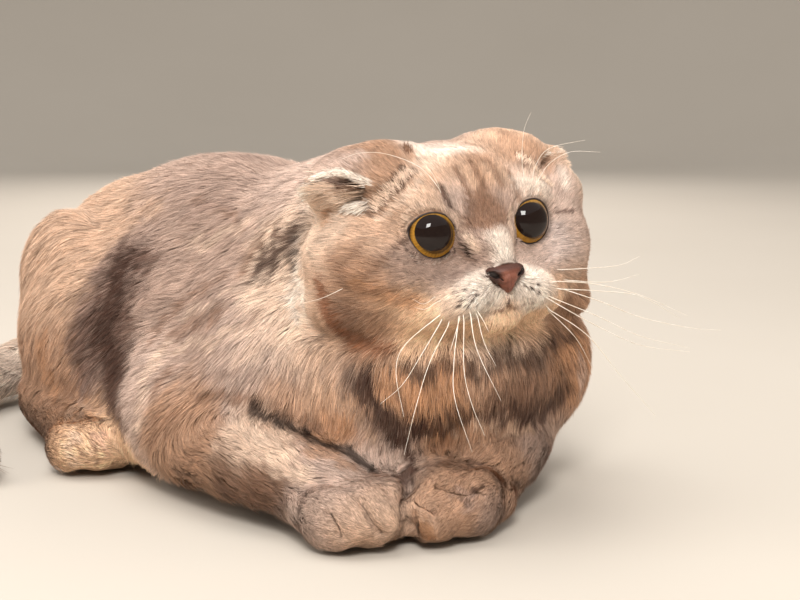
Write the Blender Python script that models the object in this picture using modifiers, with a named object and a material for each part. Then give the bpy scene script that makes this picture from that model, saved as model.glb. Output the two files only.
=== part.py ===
"""A Scottish Fold cat, life size, lying on its chest with its head raised.

The cat faces -Y, its left side is at +X, and z = 0 is the floor it lies on. Sizes are in metres.
The body, the head and each limb are fused from rounded masses, then trimmed to meet one another.
"""

import math

import bmesh
import bpy
import numpy as np
from mathutils import Euler, Matrix, Vector

# Gaps and fineness
GAP = 0.0003
LIMB_GAP = 0.0005
BODY_CELL = 0.0035
HEAD_CELL = 0.0016
PAW_CELL = 0.0014
TAIL_CELL = 0.0028
EAR_CELL = 0.0012
NOSE_CELL = 0.0007
FLOOR_CUTTER = 0.4

# Triangles of each fused form, and of the balls it is fused from
TRIANGLES = {
    "head": 2700, "nose": 260, "ear": 420, "torso": 1650, "foreleg": 760, "hind_foot": 400, "tail": 440,
}
BALL_RINGS = 14
BALL_SPOKES = 24

# The head, in a frame of its own: +X left, +Z up, the face towards -Y, eyes at z = 0
HEAD_CENTRE = Vector((0.0105, -0.114, 0.1245))
HEAD_TURN = -14.0
HEAD_PITCH = 0.0
HEAD_ROLL = -4.0
HEAD_HALF_WIDTH = 0.064
CROWN_HEIGHT = 0.0330
EYEBALL_RADIUS = 0.0125
EYE_CENTRE = Vector((0.0213, -0.0226, 0.0))
EYE_SPLAY = 8.0
EYE_RAISE = 4.0
LID_THICKNESS = 0.0017
EYE_OPENING = (0.0104, 0.0088)
EYE_SLANT = 12.0

# How far each ear hangs, in degrees, its width beside the drawn one, and where it is moved to
EAR_SET = {"left": (6.0, 0.85, (-0.0025, 0.0, 0.0030)), "right": (0.0, 1.0, (0.0, 0.0, 0.0005))}
NOSTRIL_RADII = (0.0022, 0.0030, 0.0011)
LIP_LINE_RADIUS = 0.0010
LIP_GROOVE_RADIUS = 0.0008

# The body
BACK_HEIGHT = 0.147
CHEST_HALF_WIDTH = 0.062
TOE_SIZE = {"forepaw_right": 0.0135, "forepaw_left": 0.0145, "hind_foot": 0.0125}
SIDES = {"left": 1, "right": -1}

# Where the paws and the tail are parted: a cutter's middle and its turn in degrees
REGION_SIZE = (0.2, 0.2, 0.2)
WRISTS = {"right": ((-0.052, -0.200, 0), 4), "left": ((-0.083, -0.128, 0), 8)}
TAIL_TIP_REGION = ((-0.13, 0.00, 0), -8)
TAIL_MIDDLE_REGION = ((-0.14, 0.13, 0), -12)

# Colour and roughness of each piece
COLOURS = {
    "head": (0.50, 0.35, 0.26), "ear": (0.54, 0.34, 0.22), "eye": (0.30, 0.16, 0.03),
    "nose": (0.36, 0.16, 0.12), "neck": (0.62, 0.43, 0.31), "torso": (0.48, 0.31, 0.22),
    "upper_arm": (0.52, 0.34, 0.24), "foreleg": (0.42, 0.24, 0.15), "forepaw": (0.52, 0.33, 0.24),
    "haunch": (0.42, 0.25, 0.16), "hind_foot": (0.55, 0.33, 0.20), "tail": (0.56, 0.36, 0.24),
}
ROUGHNESS = {"eye": 0.10, "nose": 0.55}
COAT_ROUGHNESS = 0.9


def clear_scene():
    for obj in list(bpy.data.objects):
        bpy.data.objects.remove(obj, do_unlink=True)


def collection(name):
    made = bpy.data.collections.new(name)
    bpy.context.scene.collection.children.link(made)
    return made


def mirrored(centre, side):
    return Vector((centre[0] * side, centre[1], centre[2]))


def placing(centre, radii, turn=(0, 0, 0), side=1):
    """Where an ellipsoid goes. turn is in degrees about X, Y and Z, and side -1 is the cat's right."""
    angles = Euler([math.radians(a) for a in (turn[0], turn[1] * side, turn[2] * side)])
    shape = Matrix.Diagonal((*radii, 1))
    return Matrix.Translation(mirrored(centre, side)) @ angles.to_matrix().to_4x4() @ shape


def ball(masses, centre, radii, turn=(0, 0, 0), side=1):
    masses.append(placing(centre, radii, turn, side))


def sphere_grid():
    """Points and faces of a unit ball."""
    bm = bmesh.new()
    bmesh.ops.create_uvsphere(bm, u_segments=BALL_SPOKES, v_segments=BALL_RINGS, radius=1)
    points = np.array([v.co for v in bm.verts])
    faces = [[v.index for v in f.verts] for f in bm.faces]
    bm.free()
    return points, faces


def masses_mesh(name, masses):
    """One mesh of all the balls, still overlapping."""
    unit, unit_faces = sphere_grid()
    points, faces = [], []
    for i, placed in enumerate(masses):
        matrix = np.array(placed)
        points.append(unit @ matrix[:3, :3].T + matrix[:3, 3])
        faces += [[v + i * len(unit) for v in face] for face in unit_faces]
    mesh = bpy.data.meshes.new(name)
    mesh.from_pydata(np.concatenate(points).tolist(), [], faces)
    return mesh


def between(p, q, r, s, t):
    """Catmull-Rom: the value a share t of the way from q to r, with p and s as their neighbours."""
    bend = 2 * p - 5 * q + 4 * r - s
    twist = 3 * q - p - 3 * r + s
    return 0.5 * (2 * q + (r - p) * t + bend * t**2 + twist * t**3)


def smooth_path(points, per_span=8):
    """A curve through points of any size, such as (x, y, z, radius)."""
    padded = [points[0], *points, points[-1]]
    made = []
    for four in zip(padded, padded[1:], padded[2:], padded[3:]):
        for i in range(per_span):
            made.append([between(*values, i / per_span) for values in zip(*four)])
    return made + [list(points[-1])]


def limb(masses, stations, per_span=8, side=1):
    """Balls set close along a smooth path. A station is (x, y, z, radius)."""
    for x, y, z, radius in smooth_path(stations, per_span):
        ball(masses, (x, y, z), (radius, radius, radius), side=side)


def mesh_object(name, mesh, home):
    obj = bpy.data.objects.new(name, mesh)
    home.objects.link(obj)
    return obj


def baked(obj, name, home):
    """A plain mesh object with the modifiers of obj applied. obj is removed."""
    bpy.context.view_layer.update()
    graph = bpy.context.evaluated_depsgraph_get()
    mesh = bpy.data.meshes.new_from_object(obj.evaluated_get(graph))
    place = obj.matrix_world.copy()
    bpy.data.objects.remove(obj, do_unlink=True)
    mesh.name = name
    made = mesh_object(name, mesh, home)
    made.matrix_world = place
    return made


def fused(name, add_masses, cell, relax, triangles, home, place=None):
    """The masses fused into one smooth closed skin of about so many triangles."""
    masses = []
    add_masses(masses)
    mesh = masses_mesh(name, [place @ m for m in masses] if place is not None else masses)
    obj = mesh_object(name, mesh, home)
    fuse = obj.modifiers.new("fuse", "REMESH")
    fuse.mode = "VOXEL"
    fuse.voxel_size = cell
    soften = obj.modifiers.new("soften", "SMOOTH")
    soften.factor = 0.5
    soften.iterations = relax
    obj = baked(obj, name, home)
    obj.data.calc_loop_triangles()
    thin = obj.modifiers.new("thin", "DECIMATE")
    thin.ratio = min(1.0, triangles / len(obj.data.loop_triangles))
    return baked(obj, name, home)


def grown(obj, by, home):
    """A copy of obj with every face pushed out, to cut a neighbour clear of it."""
    copy = mesh_object(obj.name + "_grown", obj.data.copy(), home)
    copy.matrix_world = obj.matrix_world.copy()
    push = copy.modifiers.new("push", "DISPLACE")
    push.strength = by
    push.mid_level = 0
    return baked(copy, copy.name, home)


def cut(obj, cutter, operation="DIFFERENCE"):
    trim = obj.modifiers.new(operation.lower(), "BOOLEAN")
    trim.operation = operation
    trim.object = cutter


def block(name, centre, size, turn, home):
    """A box cutter, turned in degrees about X, Y and Z."""
    bm = bmesh.new()
    angles = Euler([math.radians(a) for a in turn])
    placed = Matrix.Translation(centre) @ angles.to_matrix().to_4x4() @ Matrix.Diagonal((*size, 1))
    bmesh.ops.create_cube(bm, size=1, matrix=placed)
    mesh = bpy.data.meshes.new(name)
    bm.to_mesh(mesh)
    bm.free()
    return mesh_object(name, mesh, home)


def egg(name, centre, radii, turn, home, side=1, place=None, rings=16):
    """An ellipsoid object of its own."""
    bm = bmesh.new()
    placed = placing(centre, radii, turn, side)
    bmesh.ops.create_uvsphere(bm, u_segments=rings * 3 // 2, v_segments=rings, radius=1, matrix=placed)
    if place is not None:
        bm.transform(place)
    mesh = bpy.data.meshes.new(name)
    bm.to_mesh(mesh)
    bm.free()
    return mesh_object(name, mesh, home)


def head_place():
    turns = [Matrix.Rotation(math.radians(a), 4, axis) for a, axis in
             ((HEAD_TURN, "Z"), (HEAD_PITCH, "X"), (HEAD_ROLL, "Y"))]
    return Matrix.Translation(HEAD_CENTRE) @ turns[0] @ turns[1] @ turns[2]


def add_head(masses):
    """The skull and its flesh and fur, face towards -Y."""
    wide = HEAD_HALF_WIDTH
    ball(masses, (0, 0.008, 0), (0.80 * wide, 0.046, CROWN_HEIGHT))
    ball(masses, (0, -0.013, 0.0115), (0.031, 0.020, 0.021))
    ball(masses, (0, 0.002, -0.020), (0.042, 0.040, 0.024))
    # Nose bridge and chin
    ball(masses, (0, -0.034, -0.004), (0.0105, 0.014, 0.0105), turn=(28, 0, 0))
    ball(masses, (0, -0.0405, -0.0120), (0.0080, 0.0095, 0.0065))
    ball(masses, (0, -0.0350, -0.0345), (0.0135, 0.0125, 0.0085))
    ball(masses, (0, -0.016, -0.031), (0.028, 0.026, 0.0145))
    # The left temple stands out under its lifted ear
    ball(masses, (0.048, -0.004, 0.0060), (0.0155, 0.018, 0.0145))
    for side in SIDES.values():
        # Where the ears stand, cheeks, brow and the pads the whiskers grow from
        ball(masses, (0.019, 0.003, 0.0205), (0.0165, 0.020, 0.0155), side=side)
        ball(masses, (wide - 0.0275, -0.001, -0.014), (0.0275, 0.034, 0.030), side=side)
        ball(masses, (0.038, 0.001, -0.027), (0.027, 0.030, 0.0180), side=side)
        ball(masses, (0.024, -0.017, -0.031), (0.020, 0.021, 0.0135), side=side)
        ball(masses, (0.022, -0.019, 0.0125), (0.018, 0.012, 0.0085), turn=(0, 12, 0), side=side)
        ball(masses, (0.028, -0.021, -0.0175), (0.019, 0.015, 0.012), side=side)
        ball(masses, (0.0148, -0.0375, -0.0250), (0.0160, 0.0132, 0.0098), turn=(0, 22, 18), side=side)
        lid = EYEBALL_RADIUS + LID_THICKNESS
        ball(masses, EYE_CENTRE, (lid, lid, lid), side=side)


def eye_place(side):
    """The eyeball's own frame: its gaze runs along -Y."""
    centre = mirrored(EYE_CENTRE, side)
    splay = Matrix.Rotation(math.radians(EYE_SPLAY * side), 4, "Z")
    rise = Matrix.Rotation(math.radians(-EYE_RAISE), 4, "X")
    return head_place() @ Matrix.Translation(centre) @ splay @ rise


def eye_openings(home):
    """A cutter for the gap between the lids of each eye, wider than high, low at the inner corner."""
    made = []
    for name, side in SIDES.items():
        wide, high = EYE_OPENING
        bm = bmesh.new()
        slant = Matrix.Rotation(math.radians(-EYE_SLANT * side), 4, "Y")
        flare = Matrix.Rotation(math.radians(90), 4, "X")
        out = Matrix.Translation((0, -EYEBALL_RADIUS, 0))
        bmesh.ops.create_cone(
            bm, cap_ends=True, segments=28, radius1=0.85, radius2=1.25, depth=0.02,
            matrix=slant @ out @ Matrix.Diagonal((wide, 1, high, 1)) @ flare,
        )
        bm.transform(eye_place(side))
        mesh = bpy.data.meshes.new("eye_opening_" + name)
        bm.to_mesh(mesh)
        bm.free()
        made.append(mesh_object("eye_opening_" + name, mesh, home))
    return made


def make_eyes(home):
    made = []
    for name, side in SIDES.items():
        bm = bmesh.new()
        bmesh.ops.create_uvsphere(bm, u_segments=18, v_segments=10, radius=EYEBALL_RADIUS)
        bm.transform(eye_place(side) @ Matrix.Rotation(math.radians(90), 4, "X"))
        mesh = bpy.data.meshes.new("eye_" + name)
        bm.to_mesh(mesh)
        bm.free()
        made.append(mesh_object("eye_" + name, mesh, home))
    return made


def tube(name, points, radius, home):
    """A round cutter along points, as a closed mesh."""
    curve = bpy.data.curves.new(name, "CURVE")
    curve.dimensions = "3D"
    curve.bevel_depth = radius
    curve.bevel_resolution = 1
    curve.use_fill_caps = True
    spline = curve.splines.new("POLY")
    spline.points.add(len(points) - 1)
    for point, place in zip(spline.points, points):
        point.co = (*place, 1)
    obj = baked(mesh_object(name, curve, home), name, home)
    bm = bmesh.new()
    bm.from_mesh(obj.data)
    bmesh.ops.remove_doubles(bm, verts=bm.verts, dist=0.00001)
    bmesh.ops.recalc_face_normals(bm, faces=bm.faces)
    bm.to_mesh(obj.data)
    bm.free()
    return obj


def mouth_cutters(home):
    """The groove under the nose and the line of the lips on each side."""
    place = head_place()
    made = []
    groove = [(0, -0.0530, -0.0215), (0, -0.0515, -0.0250), (0, -0.0490, -0.0290)]
    made.append(tube("lip_groove", [place @ Vector(p) for p in groove], LIP_GROOVE_RADIUS, home))
    for name, side in SIDES.items():
        line = [(0, -0.0495, -0.0285), (0.006, -0.0490, -0.0315), (0.014, -0.0460, -0.0350),
                (0.021, -0.0405, -0.0370)]
        path = [place @ mirrored(p, side) for p in smooth_path(line, 3)]
        made.append(tube("lip_line_" + name, path, LIP_LINE_RADIUS, home))
    return made


def make_nose(home, guides):
    """The bare nose leather, wider at the top, with a nostril on each side."""

    def add_leather(masses):
        ball(masses, (0, -0.0465, -0.0140), (0.0080, 0.0056, 0.0026))
        ball(masses, (0, -0.0475, -0.0165), (0.0042, 0.0048, 0.0042))
        ball(masses, (0, -0.0475, -0.0190), (0.0026, 0.0044, 0.0030))
        for side in SIDES.values():
            ball(masses, (0.0050, -0.0462, -0.0150), (0.0038, 0.0048, 0.0028), turn=(0, -22, 14), side=side)

    nose = fused("nose", add_leather, NOSE_CELL, 3, TRIANGLES["nose"], home, head_place())
    for name, side in SIDES.items():
        hole = egg("nostril_" + name, (0.0047, -0.0518, -0.0163), NOSTRIL_RADII, (0, 32, 20), guides, side,
                   head_place(), 8)
        cut(nose, hole)
    return baked(nose, "nose", home)


def make_ears(home, guides, head_grown):
    """Each ear is a low cap whose flap lies folded over the temple. Its cup opens outwards."""
    made = []
    for name, side in SIDES.items():
        droop, width, shift = EAR_SET[name]
        hang = Matrix.Rotation(math.radians(droop * side), 4, "Y") @ Matrix.Diagonal((width, 1, 1, 1))
        place = head_place() @ Matrix.Translation(mirrored(shift, side)) @ hang

        def add_cap(masses, side=side):
            ball(masses, (0.0420, 0.0010, 0.0205), (0.0205, 0.0180, 0.0150), turn=(-6, 14, 12), side=side)
            ball(masses, (0.0300, 0.0010, 0.0225), (0.0170, 0.0150, 0.0145), side=side)
            ball(masses, (0.0345, -0.0120, 0.0190), (0.0130, 0.0105, 0.0100), turn=(10, 10, 20), side=side)
            ball(masses, (0.0530, -0.0010, 0.0210), (0.0110, 0.0130, 0.0075), turn=(0, 16, 0), side=side)

        ear = fused("ear_" + name, add_cap, EAR_CELL, 5, TRIANGLES["ear"], home, place)
        cup = egg("ear_cup_" + name, (0.0560, -0.0080, 0.0165), (0.0140, 0.0160, 0.0085),
                  (0, 14, -14), guides, side, place, 12)
        cut(ear, cup)
        cut(ear, head_grown)
        made.append(largest(baked(ear, "ear_" + name, home)))
    return made


def largest(obj):
    """Keeps only the largest closed surface of the object."""
    bm = bmesh.new()
    bm.from_mesh(obj.data)
    bm.verts.ensure_lookup_table()
    seen, groups = set(), []
    for start in bm.verts:
        if start.index in seen:
            continue
        group, queue = [], [start]
        seen.add(start.index)
        while queue:
            vert = queue.pop()
            group.append(vert)
            for edge in vert.link_edges:
                other = edge.other_vert(vert)
                if other.index not in seen:
                    seen.add(other.index)
                    queue.append(other)
        groups.append(group)
    groups.sort(key=lambda g: sum(f.calc_area() for f in {f for v in g for f in v.link_faces}), reverse=True)
    spare = [v for group in groups[1:] for v in group]
    bmesh.ops.delete(bm, geom=spare, context="VERTS")
    bm.to_mesh(obj.data)
    bm.free()
    return obj


def add_trunk(masses):
    """Trunk, neck, shoulders and haunches."""
    # Trunk
    ball(masses, (0.004, -0.040, 0.066), (0.064, 0.080, 0.070))
    ball(masses, (0, 0.030, 0.062), (0.070, 0.085, 0.070))
    ball(masses, (0, 0.020, BACK_HEIGHT - 0.048), (0.050, 0.100, 0.048))
    ball(masses, (0, 0.085, 0.070), (0.062, 0.076, 0.064))
    # Chest and the ruff under the chin
    ball(masses, (0.014, -0.108, 0.062), (CHEST_HALF_WIDTH, 0.046, 0.044))
    ball(masses, (0.059, -0.100, 0.056), (0.0430, 0.042, 0.0425))
    # What hangs of the chest between the forepaws
    ball(masses, (-0.021, -0.106, 0.028), (0.024, 0.024, 0.025))
    # Neck
    limb(masses, [(0, -0.030, 0.096, 0.047), (0.004, -0.070, 0.104, 0.050), (0.008, -0.100, 0.112, 0.046)])
    for side in SIDES.values():
        ball(masses, (0.044, 0.002, 0.028), (0.034, 0.062, 0.031), side=side)
        ball(masses, (0.042, -0.055, 0.055), (0.030, 0.046, 0.048), side=side)
        # The flank's coat falls over the elbow down to the floor
        ball(masses, (0.055, -0.022, 0.034), (0.032, 0.052, 0.036), side=side)
        ball(masses, (0.046, 0.080, 0.052), (0.034, 0.062, 0.054), turn=(-12, 0, 0), side=side)
        ball(masses, (0.050, 0.050, 0.036), (0.028, 0.048, 0.034), side=side)


def add_tail(masses):
    limb(masses, [(0, 0.120, 0.050, 0.024), (-0.006, 0.155, 0.034, 0.021), (-0.040, 0.180, 0.018, 0.0175),
              (-0.085, 0.165, 0.0155, 0.0165), (-0.115, 0.125, 0.0145, 0.0155),
              (-0.128, 0.080, 0.0135, 0.0140), (-0.126, 0.050, 0.0120, 0.0110)], per_span=14)


def add_toes(masses, heel, ahead, spread, size):
    """Four toes in a fan. ahead and spread are unit steps forwards and to the paw's left."""
    for i, (out, back) in enumerate(((-1.42, -0.55), (-0.50, 0.0), (0.50, 0.0), (1.42, -0.55))):
        centre = Vector(heel) + Vector(ahead) * size * (1.25 + back) + Vector(spread) * size * out
        angle = math.degrees(math.atan2(ahead[1], ahead[0])) - 90 - out * 9
        radii = (size * 0.62, size * 1.15, size * 1.05)
        ball(masses, (centre.x, centre.y, size * 1.02), radii, turn=(0, 0, angle))
    # The fur closes over them to a mitt
    centre = Vector(heel) + Vector(ahead) * size * 0.95
    angle = math.degrees(math.atan2(ahead[1], ahead[0])) - 90
    radii = (size * 1.85, size * 1.36, size * 1.05)
    ball(masses, (centre.x, centre.y, size * 1.02), radii, turn=(0, 0, angle))


def add_right_foreleg(masses):
    limb(masses, [(-0.058, -0.024, 0.029, 0.027), (-0.0585, -0.062, 0.027, 0.0245),
                  (-0.055, -0.092, 0.0215, 0.0205), (-0.050, -0.112, 0.0165, 0.0185)])
    add_toes(masses, (-0.047, -0.118, 0), (0.12, -0.993, 0), (0.993, 0.12, 0), TOE_SIZE["forepaw_right"])


def add_left_foreleg(masses):
    limb(masses, [(0.064, -0.060, 0.030, 0.026), (0.062, -0.095, 0.027, 0.0240),
                  (0.036, -0.122, 0.0245, 0.0220), (0.012, -0.131, 0.0200, 0.0200)])
    add_toes(masses, (0.000, -0.1325, 0), (-0.99, -0.14, 0), (-0.14, 0.99, 0), TOE_SIZE["forepaw_left"])


def add_hind_foot(masses, side):
    limb(masses, [(0.058, 0.110, 0.018, 0.017), (0.067, 0.075, 0.015, 0.0155),
                  (0.0715, 0.045, 0.0135, 0.0150)], side=side)
    add_toes(masses, (0.0720 * side, 0.042, 0), (0.12 * side, -0.993, 0), (0.993, 0.12 * side, 0),
             TOE_SIZE["hind_foot"])


def painted(obj):
    """Gives a piece its own material, by the part of the body it belongs to."""
    kind = next(k for k in COLOURS if obj.name.startswith(k))
    made = bpy.data.materials.new(obj.name)
    made.use_nodes = True
    shader = made.node_tree.nodes["Principled BSDF"]
    shader.inputs["Base Color"].default_value = (*COLOURS[kind], 1)
    shader.inputs["Roughness"].default_value = ROUGHNESS.get(kind, COAT_ROUGHNESS)
    shader.inputs["Metallic"].default_value = 0
    obj.data.materials.clear()
    obj.data.materials.append(made)


def split(obj, region, names, home):
    """Two pieces of obj with a gap between them: the one inside the region, then the rest."""
    inside = mesh_object(names[0], obj.data.copy(), home)
    wide = grown(region, GAP, region.users_collection[0])
    cut(obj, wide)
    cut(inside, region, "INTERSECT")
    return largest(baked(inside, names[0], home)), largest(baked(obj, names[1], home))


def make_limbs(home, guides, trunk, floor):
    """Forelegs, hind feet and tail, trimmed to the trunk and to the floor."""
    shell = grown(trunk, LIMB_GAP, guides)
    shapes = {"foreleg_right": add_right_foreleg, "foreleg_left": add_left_foreleg}
    for name, side in SIDES.items():
        shapes["hind_foot_" + name] = lambda masses, side=side: add_hind_foot(masses, side)
    made = {"tail": fused("tail", add_tail, TAIL_CELL, 3, TRIANGLES["tail"], home)}
    for name, add_masses in shapes.items():
        count = TRIANGLES[name.rpartition("_")[0]]
        made[name] = fused(name, add_masses, PAW_CELL, 4, count, home)
    cut(made["foreleg_left"], grown(made["foreleg_right"], GAP, guides))
    for name, obj in made.items():
        cut(obj, shell)
        cut(obj, floor)
        made[name] = largest(baked(obj, name, home))
    for side, (centre, turn) in WRISTS.items():
        wrist = block("wrist_" + side, centre, REGION_SIZE, (0, 0, turn), guides)
        split(made["foreleg_" + side], wrist, ("forepaw_" + side, "foreleg_" + side), home)
    centre, turn = TAIL_TIP_REGION
    tip = block("tail_tip_region", centre, REGION_SIZE, (0, 0, turn), guides)
    rest = split(made["tail"], tip, ("tail_tip", "tail"), home)[1]
    centre, turn = TAIL_MIDDLE_REGION
    middle = block("tail_middle_region", centre, REGION_SIZE, (0, 0, turn), guides)
    split(rest, middle, ("tail_middle", "tail_base"), home)


def divide_trunk(home, guides, trunk):
    """Takes the neck, the upper arms and the haunches off the trunk."""
    nape = egg("neck_region", (0.008, -0.088, 0.124), (0.080, 0.072, 0.054), (10, 0, 0), guides, 1, None, 14)
    rest = split(trunk, nape, ("neck", "torso"), home)[1]
    for name, side in SIDES.items():
        haunch = egg("haunch_region_" + name, (0.056, 0.072, 0.046), (0.040, 0.066, 0.062), (-12, 0, 0),
                     guides, side, None, 14)
        rest = split(rest, haunch, ("haunch_" + name, "torso"), home)[1]
        arm = egg("arm_region_" + name, (0.060, -0.066, 0.052), (0.034, 0.042, 0.048), (0, 0, 0),
                  guides, side, None, 14)
        rest = split(rest, arm, ("upper_arm_" + name, "torso"), home)[1]
    return rest


def main():
    clear_scene()
    cat = collection("scottish_fold_cat")
    guides = collection("cutters")

    wide = FLOOR_CUTTER * 2
    floor = block("floor_cutter", (0, 0, -FLOOR_CUTTER / 2), (wide, wide, FLOOR_CUTTER), (0, 0, 0), guides)

    head = fused("head", add_head, HEAD_CELL, 7, TRIANGLES["head"], cat, head_place())
    nose = make_nose(cat, guides)
    for opening in eye_openings(guides):
        cut(head, opening)
    eyes = make_eyes(cat)
    head = baked(head, "head", cat)
    head_grown = grown(head, GAP, guides)
    ears = make_ears(cat, guides, head_grown)

    trunk = fused("torso", add_trunk, BODY_CELL, 40, TRIANGLES["torso"], cat)
    make_limbs(cat, guides, trunk, floor)
    for cutter in [head_grown, floor] + [grown(ear, GAP, guides) for ear in ears]:
        cut(trunk, cutter)
    divide_trunk(cat, guides, largest(baked(trunk, "torso", cat)))

    for obj in eyes + [nose]:
        cut(head, grown(obj, GAP, guides))
    for cutter in mouth_cutters(guides):
        cut(head, cutter)
    largest(baked(head, "head", cat))

    for obj in cat.objects:
        painted(obj)
    for cutter in guides.objects:
        cutter.display_type = "WIRE"
        cutter.hide_render = True


main()
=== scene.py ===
import math

import bmesh
import bpy
import numpy as np
from mathutils import Matrix, Vector
from mathutils.bvhtree import BVHTree
from mathutils.kdtree import KDTree


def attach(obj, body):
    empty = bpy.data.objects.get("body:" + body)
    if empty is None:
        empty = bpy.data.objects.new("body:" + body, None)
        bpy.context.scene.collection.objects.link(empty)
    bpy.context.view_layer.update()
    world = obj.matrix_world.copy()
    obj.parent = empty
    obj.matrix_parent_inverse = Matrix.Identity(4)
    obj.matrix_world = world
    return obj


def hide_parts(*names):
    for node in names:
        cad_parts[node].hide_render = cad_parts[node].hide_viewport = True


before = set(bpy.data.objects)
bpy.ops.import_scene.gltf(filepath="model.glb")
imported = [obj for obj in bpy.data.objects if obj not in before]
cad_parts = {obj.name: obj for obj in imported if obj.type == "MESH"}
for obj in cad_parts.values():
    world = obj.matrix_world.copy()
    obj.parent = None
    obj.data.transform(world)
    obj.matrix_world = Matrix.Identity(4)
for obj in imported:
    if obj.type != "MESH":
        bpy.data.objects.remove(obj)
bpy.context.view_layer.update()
mm = 0.001
print("solids loaded")

# The head has its own axes: +x is the cat's left, +z up, the face looks towards -y. Its marks are in mm from here
headPose = {"centre": (0.0105, -0.114, 0.1245), "turn": -14.0, "roll": -4.0}
headCentre = np.array(headPose["centre"])
headAxes = np.array(Matrix.Rotation(math.radians(headPose["turn"]), 3, "Z")
                    @ Matrix.Rotation(math.radians(headPose["roll"]), 3, "Y"))


def toHead(points):
    return (np.asarray(points) - headCentre) @ headAxes / mm


def fromHead(points):
    return np.asarray(points, float) * mm @ headAxes.T + headCentre


def unit(vectors):
    return vectors / np.maximum(np.linalg.norm(vectors, axis=-1, keepdims=True), 1e-9)


def smooth(value, low, high):
    t = np.clip((value - low) / (high - low), 0, 1)
    return t * t * (3 - 2 * t)


def waves(points, size, seed, layers=3):
    # Smooth unevenness, mostly between -1 and 1, with bumps of about the given size
    rng = np.random.default_rng(seed)
    total = np.zeros(len(points))
    for layer in range(layers):
        for _ in range(5):
            aim = unit(rng.normal(size=3)) * 2 * math.pi / (size * rng.uniform(0.7, 1.6)) * 2**layer
            total += np.sin(points @ aim + rng.uniform(0, 6.28)) * 0.6**layer
    return total / 2.6


def lineDistance(points, path):
    # Distance to a line through the path's points, and how far along it the nearest place is
    best = np.full(len(points), 1e9)
    along = np.zeros(len(points))
    spans = max(len(path) - 1, 1)
    for i in range(spans):
        a = np.array(path[i], float)
        b = np.array(path[min(i + 1, len(path) - 1)], float)
        step = b - a
        t = np.clip((points - a) @ step / max(step @ step, 1e-12), 0, 1)
        d = np.linalg.norm(points - a - t[:, None] * step, axis=1)
        near = d < best
        best[near] = d[near]
        along[near] = (i + t[near]) / spans
    return best, along


def bezierPath(points, count):
    # A smooth run through a few points
    points = np.array(points, float)
    padded = np.vstack([2 * points[0] - points[1], points, 2 * points[-1] - points[-2]])
    made = []
    for s in np.linspace(0, len(points) - 1, count):
        i = min(int(s), len(points) - 2)
        t = s - i
        p, q, r, w = padded[i:i + 4]
        made.append(0.5 * (2 * q + (r - p) * t + (2 * p - 5 * q + 4 * r - w) * t**2
                           + (3 * q - p - 3 * r + w) * t**3))
    return np.array(made)


# Shader helpers: sums on sockets are written as plain Python
class Channel:
    def __init__(self, look, socket):
        self.look = look
        self.socket = socket

    def sum(self, operation, first, second=None, clamp=False):
        values = {0: first} if second is None else {0: first, 1: second}
        return self.look.node("ShaderNodeMath", {"operation": operation, "use_clamp": clamp}, values)

    def __add__(self, other):
        return self.sum("ADD", self, other)

    def __radd__(self, other):
        return self.sum("ADD", other, self)

    def __sub__(self, other):
        return self.sum("SUBTRACT", self, other)

    def __rsub__(self, other):
        return self.sum("SUBTRACT", other, self)

    def __mul__(self, other):
        return self.sum("MULTIPLY", self, other)

    def __rmul__(self, other):
        return self.sum("MULTIPLY", other, self)

    def __truediv__(self, other):
        return self.sum("DIVIDE", self, other)

    def __pow__(self, other):
        return self.sum("POWER", self, other)

    def held(self):
        return self.sum("MULTIPLY", self, 1.0, clamp=True)

    def ramp(self, low, high):
        return self.look.node("ShaderNodeMapRange", {"interpolation_type": "SMOOTHSTEP"},
                              {"Value": self, "From Min": low, "From Max": high})


class Look:
    def __init__(self, name):
        self.material = bpy.data.materials.new(name)
        self.material.use_nodes = True
        self.tree = self.material.node_tree
        self.shader = self.tree.nodes["Principled BSDF"]

    def node(self, kind, settings=None, values=None, output=0):
        made = self.tree.nodes.new(kind)
        for name, value in (settings or {}).items():
            if name == "stops":
                ramp = made.color_ramp
                while len(ramp.elements) < len(value):
                    ramp.elements.new(0.5)
                for element, (place, colour) in zip(ramp.elements, value):
                    element.position = place
                    element.color = (*colour, 1)
            else:
                setattr(made, name, value)
        for name, value in (values or {}).items():
            self.put(made.inputs[name], value)
        return Channel(self, made.outputs[output])

    def put(self, socket, value):
        if isinstance(value, Channel):
            self.tree.links.new(value.socket, socket)
        elif isinstance(value, tuple) and len(value) == 3 and socket.type == "RGBA":
            socket.default_value = (*value, 1)
        else:
            socket.default_value = value

    def mix(self, factor, first, second, blend="MIX"):
        return self.node("ShaderNodeMix", {"data_type": "RGBA", "blend_type": blend},
                         {0: factor, 6: first, 7: second}, 2)

    def where(self, scale=1.0):
        place = self.node("ShaderNodeTexCoord", output=3)
        if scale == 1.0:
            return place
        return self.node("ShaderNodeMapping", None, {"Vector": place, "Scale": scale})

    def noise(self, size, detail=3.0, vector=None):
        return self.node("ShaderNodeTexNoise", None,
                         {"Vector": vector or self.where(), "Scale": 1.0 / size, "Detail": detail})

    def finish(self, **values):
        for name, value in values.items():
            self.put(self.shader.inputs[name.replace("_", " ")], value)
        return self.material


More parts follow.
